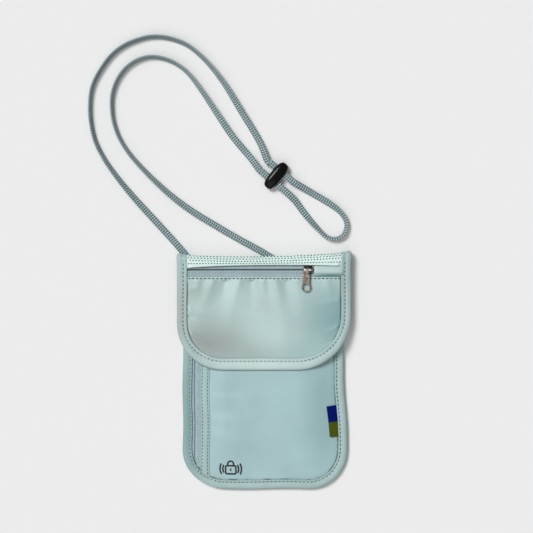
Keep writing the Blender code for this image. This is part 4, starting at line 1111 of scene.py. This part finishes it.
# Folds from the side seams: y where each starts, side, slope, half width, height and run, in millimetres.
SIDE_FOLDS = [
    (52.0, -1, 0.35, 2.2, 0.5, 9.0), (46.5, -1, 0.3, 2.0, -0.4, 8.0), (33.0, -1, 0.5, 2.6, 0.55, 10.0),
    (26.0, -1, 0.5, 2.4, -0.35, 8.0), (60.0, 1, 0.2, 2.6, 0.35, 9.0), (38.0, 1, 0.4, 2.6, 0.4, 9.0),
    (30.0, 1, 0.5, 2.4, -0.3, 8.0), (68.0, -1, -0.2, 2.4, 0.3, 8.0),
]


def flap_folds(x, y):
    """Height added to the flap's satin: seam folds, side folds, and broad slow waves."""
    drop = np.maximum(SEAM_Y - y, 0.0)
    height = np.zeros_like(x)
    for start, slant, wide, tall, run in SEAM_FOLDS:
        middle = start * MM + slant * drop
        spread = wide * MM * (1.0 + drop / (30.0 * MM))
        height += 2.7 * tall * MM * np.exp(-(((x - middle) / spread) ** 2) - drop / (run * MM))
    for start, side, slope, wide, tall, run in SIDE_FOLDS:
        inwards = np.maximum(FLAP_HALF - FLAP_TAPE - side * x, 0.0)
        across = bell(y, start * MM - slope * inwards, wide * MM)
        height += 2.4 * tall * MM * across * np.exp(-inwards / (run * MM))
    height += 0.3 * MM * bell(x, -38.0 * MM, 24.0 * MM) * bell(y, 24.0 * MM, 9.0 * MM)
    height -= 0.25 * MM * bell(x, -25.0 * MM, 30.0 * MM) * bell(y, 42.0 * MM, 7.0 * MM)
    height += 0.35 * MM * bell(x, 22.0 * MM, 26.0 * MM) * bell(y, 44.0 * MM, 14.0 * MM)
    held = ramp(edge_distance(x, y, FLAP_HALF, FLAP_BOTTOM, FLAP_CORNERS), 8.0, 3.5)
    return height * held * ramp(SEAM_Y - y, 0.0, 1.5)


satin_x, satin_y = u_panel(FLAP_HALF, FLAP_BOTTOM, FLAP_CORNERS, WINDOW_LOW, PANEL_INSET, 0.8 * MM)
to_window = WINDOW_LOW - satin_y
seam_pull = 0.12 * MM * np.cos(2 * math.pi * satin_x / (2.8 * MM)) * bell(to_window, 1.9 * MM, 0.7 * MM)
satin_z = flap_top(satin_x, satin_y) + flap_folds(satin_x, satin_y) + seam_pull
satin_z += 0.3 * MM * (1.0 - ramp(to_window, 0.0, 3.2)) - 0.22 * MM * bell(to_window, 1.9 * MM, 0.5 * MM)
satin_z -= 0.45 * MM * (1.0 - ramp(to_window, 0.0, 0.5))
satin_y = satin_y + 0.12 * MM * ripple(satin_x, 2.0) * (1.0 - ramp(to_window, 0.0, 6.0))
satin_edge = edge_distance(satin_x, satin_y, FLAP_HALF, FLAP_BOTTOM, FLAP_CORNERS)
flap_satin_panel = settled_sheet("flap_satin_panel", satin_x, satin_y, satin_z, CLOTH_THICK, flap_satin,
                                 "flap", settle_flap, np.stack([satin_edge, satin_y], axis=-1))
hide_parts("flap_lower_panel")
seam_row = int(np.argmin(np.abs(satin_y[:, satin_y.shape[1] // 2] - SEAM_Y)))
seam_line = settle_flap(np.stack([satin_x, satin_y, satin_z + 0.3 * MM], axis=-1))[seam_row, 9:-9]
stitch_row("flap_seam_stitches", seam_line, thread_with_painted_shade, "flap", length=2.6 * MM,
           thread=0.4 * MM)

# %% [markdown]
# ## Top band and fold
#
# The band above the zip turns over the top edge and becomes the back, so it crosses the hinge of the flap. It
# is one cloth, carried along a profile: straight along the band, then half an ellipse round the fold.


def fold_line(x, share):
    """y and z of the cloth over the top edge: y = start + reach.sin, z = middle + half.cos of a half turn."""
    middle, half = (FOLD_FRONT_Z + FOLD_BACK_Z) / 2, (FOLD_FRONT_Z - FOLD_BACK_Z) / 2
    turn = math.pi * share
    drop = FLAP_DROOP * flap_droop(x) * np.cos(turn / 2) ** 2
    return FOLD_Y + FOLD_REACH * np.sin(turn), middle + half * np.cos(turn) - drop


def band_edge(x):
    """Lower edge of the band, a bow: highest right of the middle and lower towards both sides."""
    away = (x - 8.0 * MM) / (72.0 * MM)
    return 89.3 * MM - np.where(away < 0.0, 2.8 * MM, 1.8 * MM) * away**2


band_x = np.linspace(-FLAP_HALF + 0.4 * MM, FLAP_HALF - 0.4 * MM, 300)[None, :]
FLAT_ROWS, FOLD_ROWS, BACK_ROWS = 20, 34, 6
up_share = np.linspace(0.0, 1.0, FLAT_ROWS)[:, None]
flat_y = band_edge(band_x) + (FOLD_Y - band_edge(band_x)) * up_share
margin_lift = ramp(91.9 * MM - flat_y, 0.0, 2.6) * ramp(63.8 * MM - np.abs(band_x), 0.0, 2.8)
flat_z = FLAP_TOP_Z - FLAP_DROOP * flap_droop(band_x) + 1.9 * MM * margin_lift
turn_share = np.linspace(0.0, 1.0, FOLD_ROWS + 1)[1:, None]
turn_y, turn_z = (part + 0.0 * band_x for part in fold_line(band_x, turn_share))
back_share = np.linspace(0.0, 1.0, BACK_ROWS + 1)[1:, None]
under_y = FOLD_Y - 5.0 * MM * back_share + 0.0 * band_x
under_z = FOLD_BACK_Z - 0.05 * MM + 0.0 * under_y
band_y = np.concatenate([flat_y, turn_y, under_y])
band_z = np.concatenate([flat_z, turn_z, under_z])
# The side of the cloth that is tucked behind the back is a little narrower, so the body's binding covers it.
row_share = np.concatenate([up_share, 1.0 + turn_share, 2.0 + back_share])
band_grid_x = band_x * (1.0 - 0.065 * ease((row_share - 1.9) / 0.3))
profile = np.concatenate([up_share * 0.0, turn_share, np.ones_like(back_share)])
rise = np.cos(math.pi * profile)
lean = np.sin(math.pi * profile)
# Over the fold the lower edge is far away.
from_edge = np.full(band_y.shape, 20.0 * MM)
from_edge[:FLAT_ROWS] = flat_y - band_edge(band_x)
# Each row's place: up to 1 it is a share of the flat part, and above 1 a share of the half turn.
BAND_ROWS = (0.5, 1.03, 1.18, 1.34)
row_pull = sum(bell(row_share, row, 0.06) for row in BAND_ROWS)
lump_rows = np.sin(band_y / (1.1 * MM) + 3.0 * ripple(band_grid_x, 1.9))
lumps = 0.3 * MM * ripple(band_grid_x * 1.9, 0.7) * lump_rows
puckers = 1.0 + 0.5 * np.cos(2 * math.pi * band_grid_x / (2.6 * MM))
off = 0.25 * MM + lumps - 0.25 * MM * row_pull * puckers
off -= 0.45 * MM * (1.0 - ramp(from_edge, 0.0, 0.5))
off *= 1.0 - ease((profile - 0.8) / 0.2)
band_points = settle_flap(np.stack([band_grid_x, band_y + off * lean, band_z + off * rise], axis=-1))
band_uv = np.stack([band_grid_x, np.cumsum(np.full(band_y.shape, 0.5 * MM), axis=0)], axis=-1)
top_band = cloth_sheet("top_band", band_points, 0.45 * MM, band_cloth, None, band_uv)
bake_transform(top_band)
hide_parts("flap_top_band", "flap_fold")

for number, row in enumerate(BAND_ROWS):
    start = 17 + 3 * (number % 2)
    index = int(np.argmin(np.abs(row_share[:, 0] - row)))
    turn = math.pi * max(0.0, row - 1.0)
    outward = np.array([0.0, math.sin(turn), math.cos(turn)])
    line = band_points[index, start:start + 266] + 0.22 * MM * outward
    made = stitch_row(f"band_stitches_{number + 1}", line, thread_with_painted_shade, None,
                      (2.45 + 0.13 * number) * MM, 1.5 * MM, 0.46 * MM, outward)
    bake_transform(made)

# %% [markdown]
# ## Binding
#
# A binding is a tape folded over a raw edge and sewn through both sides. Its cross-section is a narrow C,
# given as points: how far inwards, how far from the lower cloth to the upper one, and how much above that.
# The C is carried along the edge, and it dips where each stitch pulls it down.


# %% Binding helper
def tape_section(width, groove, count):
    """A smooth closed C: down the lower leg, round the fold, and along the upper leg with a stitch groove."""
    w = width / MM
    g = w - groove / MM
    controls = [
        (w - 0.5, 0.0, 0.04), (w * 0.5, 0.0, 0.02), (1.5, 0.0, 0.04), (0.45, 0.02, 0.35), (0.05, 0.25, 0.3),
        (0.0, 0.55, 0.2), (0.2, 0.85, 0.35), (0.75, 1.0, 0.72), (1.6, 1.0, 1.2), (w * 0.36, 1.0, 1.45),
        (g - 1.2, 1.0, 1.15), (g - 0.5, 1.0, 0.8), (g, 1.0, 0.55), (g + 0.5, 1.0, 0.75), (g + 1.1, 1.0, 0.92),
        (w - 0.25, 1.0, 0.9), (w, 1.0, 0.65), (w - 0.3, 1.0, 0.4), (g, 1.0, 0.3), (2.6, 1.0, 0.4),
        (1.3, 0.98, 0.15), (0.75, 0.7, 0.1), (0.75, 0.35, 0.2), (1.5, 0.0, 0.46), (w * 0.5, 0.0, 0.44),
        (w - 0.5, 0.0, 0.42),
    ]
    return smooth_line(np.array(controls), count, closed=True) * (MM, 1.0, MM)


def binding(name, edge, width, groove, low, high, settle, body, finish, seed, hem_extra=0.0):
    """Carry the C along an edge, as one closed piece, and lay a row of stitches in its groove."""
    points, inward, s = edge
    section = tape_section(width, groove, 46)
    d, t, h = (section[:, k][None, :] for k in range(3))
    grow = 1.0 + hem_extra * inward[:, 1:2] ** 2
    inner = (d / width) ** 2
    in_groove = bell(d, width - groove, 1.1 * MM)
    moved_in = hem_extra * 8.0 * MM * inward[:, 1:2] ** 2 * bell(d, width - groove, 2.2 * MM)
    d = d * grow + moved_in + 0.28 * MM * ripple(s, seed)[:, None] * inner
    x = points[:, 0:1] + inward[:, 0:1] * d
    y = points[:, 1:2] + inward[:, 1:2] * d
    bottom, top = low(x, y), high(x, y)
    upper = ease((t - 0.6) / 0.4)
    crown = 1.0 + 0.16 * ripple(s * 1.7, seed + 1.0)[:, None] * upper
    pulled = 0.14 * MM * upper * in_groove
    z = bottom + t * (top - bottom) + h * crown + pulled * np.cos(2 * math.pi * s[:, None] / STITCH_PITCH)
    grid = settle(np.stack([x, y, z], axis=-1))
    uv = np.stack(np.broadcast_arrays(s[:, None], d + 20.0 * MM * (t < 0.5)), axis=-1)
    made = place(name, closed_grid(name, grid, uv, caps=True), finish, body)
    facing_up = (section[:, 1] > 0.9) & (section[:, 2] > 0.45 * MM)
    column = int(np.argmin(np.where(facing_up, np.abs(section[:, 0] - (width - groove)), 1.0)))
    line = grid[4:-4, column] + (0.0, 0.0, 0.14 * MM)
    stitch_row(f"{name}_stitches", line, thread_with_painted_shade, body, length=2.4 * MM,
               thread=0.36 * MM)
    return made


# %% Body binding
body_edge = u_line(BODY_HALF, SEEN_BOTTOM, BODY_CORNERS, BINDING_TOP, 0.6 * MM)
body_tape = binding("body_tape", body_edge, BODY_TAPE, BODY_GROOVE, lambda x, y: 0.0 * x, hem_top,
                    settle_body, "pouch", body_twill, 0.3)
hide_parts("body_binding")
points, inward, s = body_edge
back_line = np.column_stack([points + inward * 5.6 * MM, np.full(len(s), 0.2 * MM)])
stitch_row("back_stitches", settle_body(back_line)[4:-4], thread_with_painted_shade, "pouch",
           length=2.3 * MM, thread=0.2 * MM, up=(0.0, 0.0, -1.0))

# %% Flap binding
flap_edge = u_line(FLAP_HALF, FLAP_BOTTOM, FLAP_CORNERS, FOLD_Y, 0.6 * MM)
flap_tape = binding("flap_tape", flap_edge, FLAP_TAPE, FLAP_GROOVE, lambda x, y: flap_under(x, y) - 0.5 * MM,
                    flap_top, settle_flap, "flap", flap_twill, 1.1, 0.16)
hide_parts("flap_binding")

# %% [markdown]
# The binding of each side goes on over the fold. Here the same C is carried round the half ellipse: its
# inward direction is along X, and its height stands off the fold's own surface.


# %% Binding over the fold
def fold_binding(name, side):
    """The C carried round the fold at one side."""
    section = tape_section(FLAP_TAPE, FLAP_GROOVE, 46)
    share = np.linspace(-0.06, 1.05, 60)[:, None]
    on_fold = np.clip(share, 0.0, 1.0)
    d, t, h = (section[:, k][None, :] for k in range(3))
    x = side * (FLAP_HALF - d) + 0.0 * share
    y, z = fold_line(x, on_fold)
    y = y + np.minimum(0.0, share) * 20.0 * MM - np.maximum(0.0, share - 1.0) * 20.0 * MM
    turn = math.pi * on_fold
    inner_gap = 1.6 * MM
    stand = (t - 1.0) * inner_gap + h
    stand = np.where(share > 0.9, np.minimum(stand, 0.5 * MM), stand)
    grid = np.stack([x, y + stand * np.sin(turn), z + stand * np.cos(turn)], axis=-1)
    grid = settle_flap(grid)
    grid[..., 2] = np.maximum(grid[..., 2], 1.2 * MM)
    uv = np.stack(np.broadcast_arrays(share * 16.0 * MM, d + 20.0 * MM * (t < 0.5)), axis=-1)
    made = place(name, closed_grid(name, grid, uv, caps=True), flap_twill)
    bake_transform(made)


for which, side in (("left", -1.0), ("right", 1.0)):
    fold_binding(f"fold_tape_{which}", side)

# %% [markdown]
# ## Zip cover
#
# At its closed end the flap's zip is covered by a scrap of the same satin, which stands up a little over the
# coil. It is a crowned sheet: highest along the zip, and rolled under at its left edge.

# %% Zip cover
cover_low, cover_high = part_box("flap_zip_garage")
cover_x, cover_y = np.meshgrid(np.linspace(cover_low[0], FLAP_HALF - 7.0 * MM, 60),
                               np.linspace(cover_low[1] - 0.4 * MM, cover_high[1], 36))
cover_share = (cover_y - cover_y.min()) / (cover_y.max() - cover_y.min())
cover_z = cover_low[2] + 0.1 * MM + 1.5 * MM * np.sin(math.pi * cover_share**0.75) ** 0.8
cover_z -= 0.6 * MM * (1.0 - ramp(cover_x - cover_low[0], 0.0, 1.4))
cover_z -= 2.4 * MM * flap_droop(cover_x)
cover_z += 0.1 * MM * ripple(cover_x, 0.9) * np.sin(math.pi * cover_share)
zip_cover = settled_sheet("zip_cover", cover_x, cover_y, cover_z, 0.4 * MM, cover_satin,
                          "flap", settle_flap)
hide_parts("flap_zip_garage")

# %% [markdown]
# ## Side label
#
# The label is a folded ribbon in two colours, caught in the binding by its raw ends. Its cross-section is a
# flat hairpin, carried down the label, which leans a little towards the edge on its way. It lies on the
# front panel.


# %% Side label
def label(name, top_y, bottom_y, material, node, round_end):
    """A hairpin of ribbon: across it the upper layer runs out, turns round a small radius and comes back."""
    rows = np.linspace(top_y, bottom_y, 40)[:, None]
    outer_x, inner_x = 52.2 * MM, 63.5 * MM
    hairpin = [(1.0, 0.95), (0.5, 1.0), (0.08, 0.95), (0.0, 0.5), (0.08, 0.06), (0.5, 0.0), (1.0, 0.0)]
    section = smooth_line(hairpin, 26)
    across, tall = section[:, 0][None, :], section[:, 1][None, :]
    into = np.clip((rows - bottom_y) / (1.6 * MM), 0.0, 1.0)
    pulled_in = round_end * 1.5 * MM * (1.0 - np.sqrt(1.0 - (1.0 - into) ** 2)) * (1.0 - across)
    lean = 0.045 * (-29.1 * MM - rows)
    x = outer_x + pulled_in + (inner_x - outer_x) * across + lean
    x = np.minimum(x, BODY_HALF - BODY_TAPE + 1.0 * MM)
    y = rows + 0.15 * (x - outer_x)
    curl = 0.35 * MM * (1.0 - across) * (0.6 + 0.4 * np.sin(rows / (3.1 * MM)))
    ribbed = 0.04 * MM * np.cos(2 * math.pi * rows / (0.9 * MM)) * (tall - 0.5)
    z = front_top(x, y) + 0.08 * MM + (0.85 - 0.55 * ease((across - 0.55) / 0.3)) * MM * tall + curl + ribbed
    grid = settle_body(np.stack([x, y, z], axis=-1))
    made = place(name, closed_grid(name, grid, grid[..., :2], caps=True), material, "pouch")
    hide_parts(node)


navy_low, navy_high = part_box("tab_label_navy")
olive_low, olive_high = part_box("tab_label_olive")
label("ribbon_navy", navy_high[1] - 0.6 * MM, navy_low[1] - 0.6 * MM, navy_ribbon,
      "tab_label_navy", 0.0)
label("ribbon_olive", olive_high[1] - 0.35 * MM, olive_low[1] - 0.4 * MM, olive_ribbon,
      "tab_label_olive", 1.0)

# %% [markdown]
# ## Printed mark
#
# A small mark is printed at the lower left: a padlock between curved waves, which says in a general way that
# cards are kept safe inside. Each stroke is a flat ribbon that follows a line and lies just proud of the
# panel, as thick screen ink does.


# %% Printed mark
def arc(centre, radius, start, end, count=24):
    """Points on a circle from one angle to another, in degrees, round a centre in millimetres."""
    turn = np.radians(np.linspace(start, end, count))
    return np.column_stack([centre[0] + radius * np.cos(turn), centre[1] + radius * np.sin(turn)])


def rounded_box(centre, half_w, half_h, radius):
    """A closed outline of four quarter circles joined by straight lines."""
    flat_w, flat_h = half_w - radius, half_h - radius
    corners = [(1, 1, 0), (-1, 1, 90), (-1, -1, 180), (1, -1, 270)]
    parts = [arc((centre[0] + a * flat_w, centre[1] + b * flat_h), radius, turn, turn + 90, 8)
             for a, b, turn in corners]
    return np.concatenate(parts + [parts[0][:1]])


def ink_stroke(name, line, width):
    """A ribbon of ink: the line moved half a width to each side, laid on the front panel."""
    line = np.asarray(line, float)
    closed = np.allclose(line[0], line[-1])
    line = smooth_line(line[:-1], 90, closed=True) if closed else at_distance(
        line, np.linspace(0.0, along(line)[-1], 60))
    if closed:
        line = np.concatenate([line, line[:1]])
    way = unit(np.gradient(line, axis=0))
    if closed:
        way[0] = way[-1] = unit(line[1] - line[-2])
    side = np.column_stack([-way[:, 1], way[:, 0]])
    share = np.linspace(1.0, -1.0, 4)[None, :, None]
    spread = (line[:, None] + side[:, None] * share * width / 2) * MM
    x, y = spread[..., 0], spread[..., 1]
    z = front_top(x, y) + 0.10 * MM
    grid = settle_body(np.stack([x, y, z], axis=-1))
    cloth_sheet(name, grid, 0.12 * MM, ink, "pouch")


ink = grained("screen_ink", tint(8, 13, 15), 0.5, 2600.0, 0.03 * MM)
MARK = (-27.9, -81.2)
INK_WIDTH = 1.35
ink_stroke("mark_lock_body", rounded_box((MARK[0], MARK[1] - 1.6), 4.3, 3.4, 1.1), INK_WIDTH)
shackle = np.concatenate([[(MARK[0] - 2.5, MARK[1] + 1.9)], arc((MARK[0], MARK[1] + 3.2), 2.5, 180, 0),
                          [(MARK[0] + 2.5, MARK[1] + 1.9)]])
ink_stroke("mark_shackle", shackle, INK_WIDTH)
ink_stroke("mark_keyhole", [(MARK[0], MARK[1] - 0.5), (MARK[0], MARK[1] - 2.7)], 1.1)
for number, radius in enumerate((6.6, 9.0)):
    ink_stroke(f"mark_wave_left_{number + 1}", arc((MARK[0], MARK[1] - 0.8), radius, 150, 210), INK_WIDTH)
    ink_stroke(f"mark_wave_right_{number + 1}", arc((MARK[0], MARK[1] - 0.8), radius, 30, -30), INK_WIDTH)

# %% [markdown]
# ## Hook and loop
#
# Two patches hold the flap shut. The loop side is fuzzy and the hook side is a field of small stiff hooks.
# Both are grids whose heights are a fine uneven pattern of sines, so they look rough when the flap opens.

# %% Hook and loop
fuzz = woven("hook_and_loop_fuzz", tint(158, 178, 178), 0.9, pitch=0.9 * MM, depth=0.3 * MM, tones=0.15)


def patch(name, node, body, up, reach, roughness):
    """A rounded rough slab: height is a level, eased down at its rim, plus crossed sines of two lengths."""
    low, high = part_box(node)
    x, y = np.meshgrid(np.linspace(low[0], high[0], 150), np.linspace(low[1], high[1], 44))
    rim = np.minimum(np.minimum(x - low[0], high[0] - x), np.minimum(y - low[1], high[1] - y))
    rough = np.sin(x / (0.27 * MM) + 2.0 * np.sin(y / (0.9 * MM)))
    rough = rough * np.sin(y / (0.31 * MM) + np.sin(x / (1.3 * MM)))
    height = reach * ramp(rim, 0.0, 0.6) * (0.8 + roughness * rough)
    base = low[2] if up > 0 else high[2]
    grid = np.stack([x, y, base + up * height], axis=-1)
    if up < 0:
        grid = grid[:, ::-1]
    made = cloth_sheet(name, grid, 0.2 * MM, fuzz, body)
    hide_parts(node)


patch("loop_pad", "loop_patch", "pouch", 1.0, 0.55 * MM, 0.22)
patch("hook_pad", "hook_patch", "flap", -1.0, 0.4 * MM, 0.3)

# %% [markdown]
# ## Bar tacks
#
# The cord's ends lie behind the top of the back panel. Each is held by two bar tacks: short dense rows of
# thread across the cord.


# %% Bar tacks
def bar_tack(name, distance):
    """Fourteen threads side by side along the cord, each lying across it, at a distance from its start."""
    where = distance + (np.arange(14) - 6.5) * 0.32 * MM
    middles = at_distance(cord_path, where) + (0.0, 0.0, -CORD_THICK / 2 + 0.12 * MM)
    before, after = at_distance(cord_path, where - 0.5 * MM), at_distance(cord_path, where + 0.5 * MM)
    way = unit(after - before)
    across = np.column_stack([-way[:, 1], way[:, 0], np.zeros(len(way))])
    ups = np.broadcast_to([0.0, 0.0, -1.0], across.shape)
    half_sizes = (CORD_WIDTH * 0.42, 0.17 * MM, 0.15 * MM)
    beads(name, middles, across, ups, half_sizes, pale_thread, "pouch")


for number, distance in enumerate((3.0 * MM, 9.5 * MM, cord_length - 3.0 * MM, cord_length - 40.0 * MM)):
    bar_tack(f"cord_tack_{number + 1}", distance)

# %% [markdown]
# ## Sliders and pulls
#
# A slider is two plates joined by a web, with turned-in rims that grip the coils and a bridge on top. The
# pull hangs on the bridge by a knuckle. All are small castings with soft edges, plated in dark nickel. The
# bridge and the knuckle get a much lighter copy of the nickel, a painted highlight that gives them a bright
# bar. A plate is a superellipsoid, the bridge a rounded bar bent over an arch, and the pull a ring-shaped
# surface: it runs round between an outer outline and a hole, so the hole is real.


# %% Metal
def casting(name, colour, roughness):
    """Plated die-cast metal: fine pits as bump and cloudy roughness."""
    material, tree, shader = new_finish(name, colour, roughness, Metallic=1.0)
    spot = coordinates(tree, "Object")
    pits, clouds = noise(tree, spot, 1300.0, 3.0), noise(tree, spot, 420.0)
    dull = spread_range(tree, clouds, 0.3, 0.7, roughness * 0.7, roughness * 1.4)
    wear_and_shade_mottle = blend_colours(tree, spread_range(tree, clouds, 0.4, 0.65), shade(colour, 0.8), shade(colour, 1.2))
    tree.links.new(dull, shader.inputs["Roughness"])
    tree.links.new(wear_and_shade_mottle, shader.inputs["Base Color"])
    raised(tree, shader, pits, 0.05 * MM)
    return material


dark_nickel = casting("dark_nickel", tint(74, 66, 62), 0.2)
# A much lighter copy of the nickel for the bridge and the knuckle: a painted highlight.
highlight_nickel = casting("highlight_nickel", tint(214, 208, 203), 0.38)
pull_nickel = casting("pull_nickel", tint(150, 139, 130), 0.38)

SOFT_EDGE = 50.0
PULL_RING = 3.95 * MM
FLAP_ARCH, SIDE_ARCH = 3.75 * MM, 2.4 * MM


def sweep(path, section, side_way):
    """Carry a closed section along a path; one axis of the section is fixed, the other is square to both."""
    way = unit(np.gradient(path, axis=0))
    side = np.broadcast_to(np.asarray(side_way, float), way.shape)
    up = unit(np.cross(way, side))
    return path[:, None] + section[None, :, :1] * side[:, None] + section[None, :, 1:] * up[:, None]


def round_bar(half_wide, half_tall, squareness=0.6, count=20):
    """A superellipse: a.cos^e, b.sin^e."""
    turn = np.linspace(0.0, 2 * math.pi, count, endpoint=False)
    wide, tall = half_wide * power(np.cos(turn), squareness), half_tall * power(np.sin(turn), squareness)
    return np.column_stack([wide, tall])


def ring_plate(outline, hole_radius, half_thick, ring=18, edge=0.45):
    """A plate round a hole at the origin: for each outline point the section is a superellipse that spans
    from the hole to the outline. Returns points as along, across, height."""
    hole = unit(outline) * hole_radius
    middle, half = (outline + hole) / 2, (outline - hole) / 2
    turn = np.linspace(0.0, 2 * math.pi, ring, endpoint=False)
    reach = power(np.cos(turn), edge)[None, :, None]
    tall = power(np.sin(turn), edge)[None, :] * half_thick
    plane = middle[:, None] + half[:, None] * reach
    return np.concatenate([plane, np.broadcast_to(tall, plane.shape[:2])[..., None]], axis=-1)


def pull_outline(ring_radius, half_wide, length, shoulder, count=150):
    """Outline of a pull, seen from its ring: in each direction the further of a circle and a tapering
    bar."""
    turn = np.linspace(-math.pi / 2, 1.5 * math.pi, 4000, endpoint=False)
    cosine, sine = np.cos(turn), np.sin(turn)
    forward = np.maximum(sine, 1e-6)
    wide = half_wide / np.maximum(np.abs(cosine), 1e-6)
    at_height = np.clip(wide * forward, 0.0, length)
    narrowed = half_wide - shoulder * ease((at_height - length * 0.72) / (length * 0.28))
    bar = np.minimum(narrowed / np.maximum(np.abs(cosine), 1e-6), length / forward)
    reach = np.where(sine > 0.0, np.maximum(bar, ring_radius), ring_radius)
    loop = np.column_stack([reach * cosine, reach * sine])
    loop = np.concatenate([loop, loop[:1]])
    return at_distance(loop, np.linspace(0.0, along(loop)[-1], count + 1))[:-1]


# %% Slider
def slider(name, node, centre, coil_z, turn, body, arch_reach):
    """Two plates, two pairs of rims and a web, each a closed surface, joined into one piece, with a bridge
    over them as a piece of its own."""
    half_long, half_wide = 4.3 * MM, 3.55 * MM
    gap = 0.95 * MM
    shift = (*centre, coil_z)
    parts = []
    for sign in (-1.0, 1.0):
        plate = superellipsoid((half_long, half_wide, 0.42 * MM), (0.5, 0.55), 12, 56)
        nose = plate[..., 0] / half_long
        plate[..., 1] *= 1.0 - 0.28 * ease((nose - 0.1) / 0.9)
        if sign > 0:
            plate[..., 2] += 0.35 * MM * (1.0 - (plate[..., 1] / half_wide) ** 2)
        parts.append(plate + (0.0, 0.0, sign * (gap + 0.3 * MM)))
        for side in (-1.0, 1.0):
            rim = superellipsoid((half_long * 0.86, 0.34 * MM, 0.42 * MM), (0.6, 0.4), 8, 28)
            parts.append(rim + (-0.3 * MM, side * (half_wide - 0.42 * MM), sign * (gap - 0.25 * MM)))
    web = superellipsoid((1.3 * MM, 0.55 * MM, gap + 0.3 * MM), (0.4, 0.8), 8, 24)
    parts.append(web + (half_long - 1.5 * MM, 0.0, 0.0))

    top = gap + 0.95 * MM
    rise = (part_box(node)[1][2] - coil_z) - top
    half_turn = np.linspace(0.0, math.pi, 30)
    arch = np.column_stack([-arch_reach * power(np.cos(half_turn), 0.5), np.zeros(30),
                            top - 0.5 * MM + (rise + 0.1 * MM) * power(np.sin(half_turn), 0.6)])
    bridge = turned(sweep(arch, round_bar(0.95 * MM, 0.42 * MM), (0.0, 1.0, 0.0)), turn, shift)
    bridge_mesh = closed_grid(f"{name}_bridge", bridge, caps=True)
    place(f"{name}_bridge", bridge_mesh, highlight_nickel, body, SOFT_EDGE)

    points, polygons, start = [], [], 0
    for part in parts:
        polygons += [block + start for block in closed_faces(part, caps=True)]
        points.append(turned(part.reshape(-1, 3), turn, shift))
        start += len(points[-1])
    mesh = fill_mesh(name, np.concatenate(points), polygons)
    made = place(name, mesh, dark_nickel, body, SOFT_EDGE)
    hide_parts(node)


flap_pull_low, flap_pull_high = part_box("flap_zip_pull")
flap_slider_low, flap_slider_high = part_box("flap_zip_slider")
SLIDER_X = (flap_slider_low[0] + flap_slider_high[0]) / 2
PULL_Z = flap_pull_high[2] - 1.35 * MM
slider("flap_slider_body", "flap_zip_slider", (SLIDER_X, ZIP_Y), ZIP_Z, 0.0, "flap_slider", FLAP_ARCH)

side_slider_low, side_slider_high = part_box("side_zip_slider")
SIDE_SLIDER_Y = (side_slider_low[1] + side_slider_high[1]) / 2
slider("side_slider_body", "side_zip_slider", (SIDE_X, SIDE_SLIDER_Y), SIDE_Z, math.pi / 2, "side_slider",
       SIDE_ARCH)


# %% Pulls
def pull(name, node, ring_centre, length, half_thick, body):
    """A pull lying flat with its ring towards -Y."""
    outline = pull_outline(PULL_RING, 3.2 * MM, length, 0.5 * MM)
    plate = ring_plate(outline, 2.75 * MM, half_thick)
    along_pull = plate[..., 1]
    shank = ramp(along_pull, 4.2, 1.0) * ramp(length - 2.4 * MM - along_pull, 0.0, 1.0)
    dish = shank * bell(plate[..., 0], 0.0, 1.5 * MM)
    plate[..., 2] *= 1.0 - 0.45 * dish
    mesh = closed_grid(name, plate + np.asarray(ring_centre), wrap_rows=True)
    made = place(name, mesh, pull_nickel, body, SOFT_EDGE)
    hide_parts(node)


def eye(name, centre, outer, inner, half_long, squareness, material, body, lying):
    """A ring round an axle: lying flat about Z, or standing about X as the knuckle on a bridge."""
    turn = np.linspace(0.0, 2 * math.pi, 40, endpoint=False)
    circle = np.column_stack([np.cos(turn), np.sin(turn)]) * outer
    local = ring_plate(circle, inner, half_long, 20, squareness)
    if not lying:
        local = np.stack([local[..., 2], local[..., 0], local[..., 1]], axis=-1)
    mesh = closed_grid(name, local + np.asarray(centre), wrap_rows=True)
    place(name, mesh, material, body, SOFT_EDGE)


# The pull hangs a little to the left of its slider's middle.
PULL_SHIFT = -1.7 * MM
ring_y = flap_pull_low[1] + PULL_RING
pull("flap_pull_plate", "flap_zip_pull", (SLIDER_X + PULL_SHIFT, ring_y, PULL_Z), ZIP_Y - 1.0 * MM - ring_y,
     0.48 * MM, "flap_pull")
eye("flap_pull_knuckle", (SLIDER_X + PULL_SHIFT, ZIP_Y, PULL_Z), 1.6 * MM, 0.92 * MM, 2.0 * MM, 0.9,
    highlight_nickel, "flap_pull", lying=False)

side_pull_low, side_pull_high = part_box("side_zip_pull")
side_ring_y = side_pull_low[1] + PULL_RING
SIDE_PULL_Z = (side_pull_low[2] + side_pull_high[2]) / 2 + 0.2 * MM
LEG_Y = SIDE_SLIDER_Y - SIDE_ARCH
pull("side_pull_plate", "side_zip_pull", (SIDE_X, side_ring_y, SIDE_PULL_Z), LEG_Y - 1.3 * MM - side_ring_y,
     0.36 * MM, "side_pull")
eye("side_pull_eye", (SIDE_X, LEG_Y, SIDE_PULL_Z), 2.1 * MM, 1.1 * MM, 0.36 * MM, 0.5, pull_nickel,
    "side_pull", lying=True)

# %% [markdown]
# ## The table
#
# The floor is a plain pale plane just under the lowest piece.

# %% The table
floor_points = np.array([[x, y, -0.05 * MM] for y in (-3.0, 3.0) for x in (-3.0, 3.0)])
floor_mesh = fill_mesh("table", floor_points, [np.array([[0, 1, 3, 2]])])
table_paper = new_finish("table_paper", (0.80, 0.80, 0.80, 1.0), 0.9)[0]
floor_mesh.materials.append(table_paper)
table = bpy.data.objects.new("table", floor_mesh)
bpy.context.collection.objects.link(table)
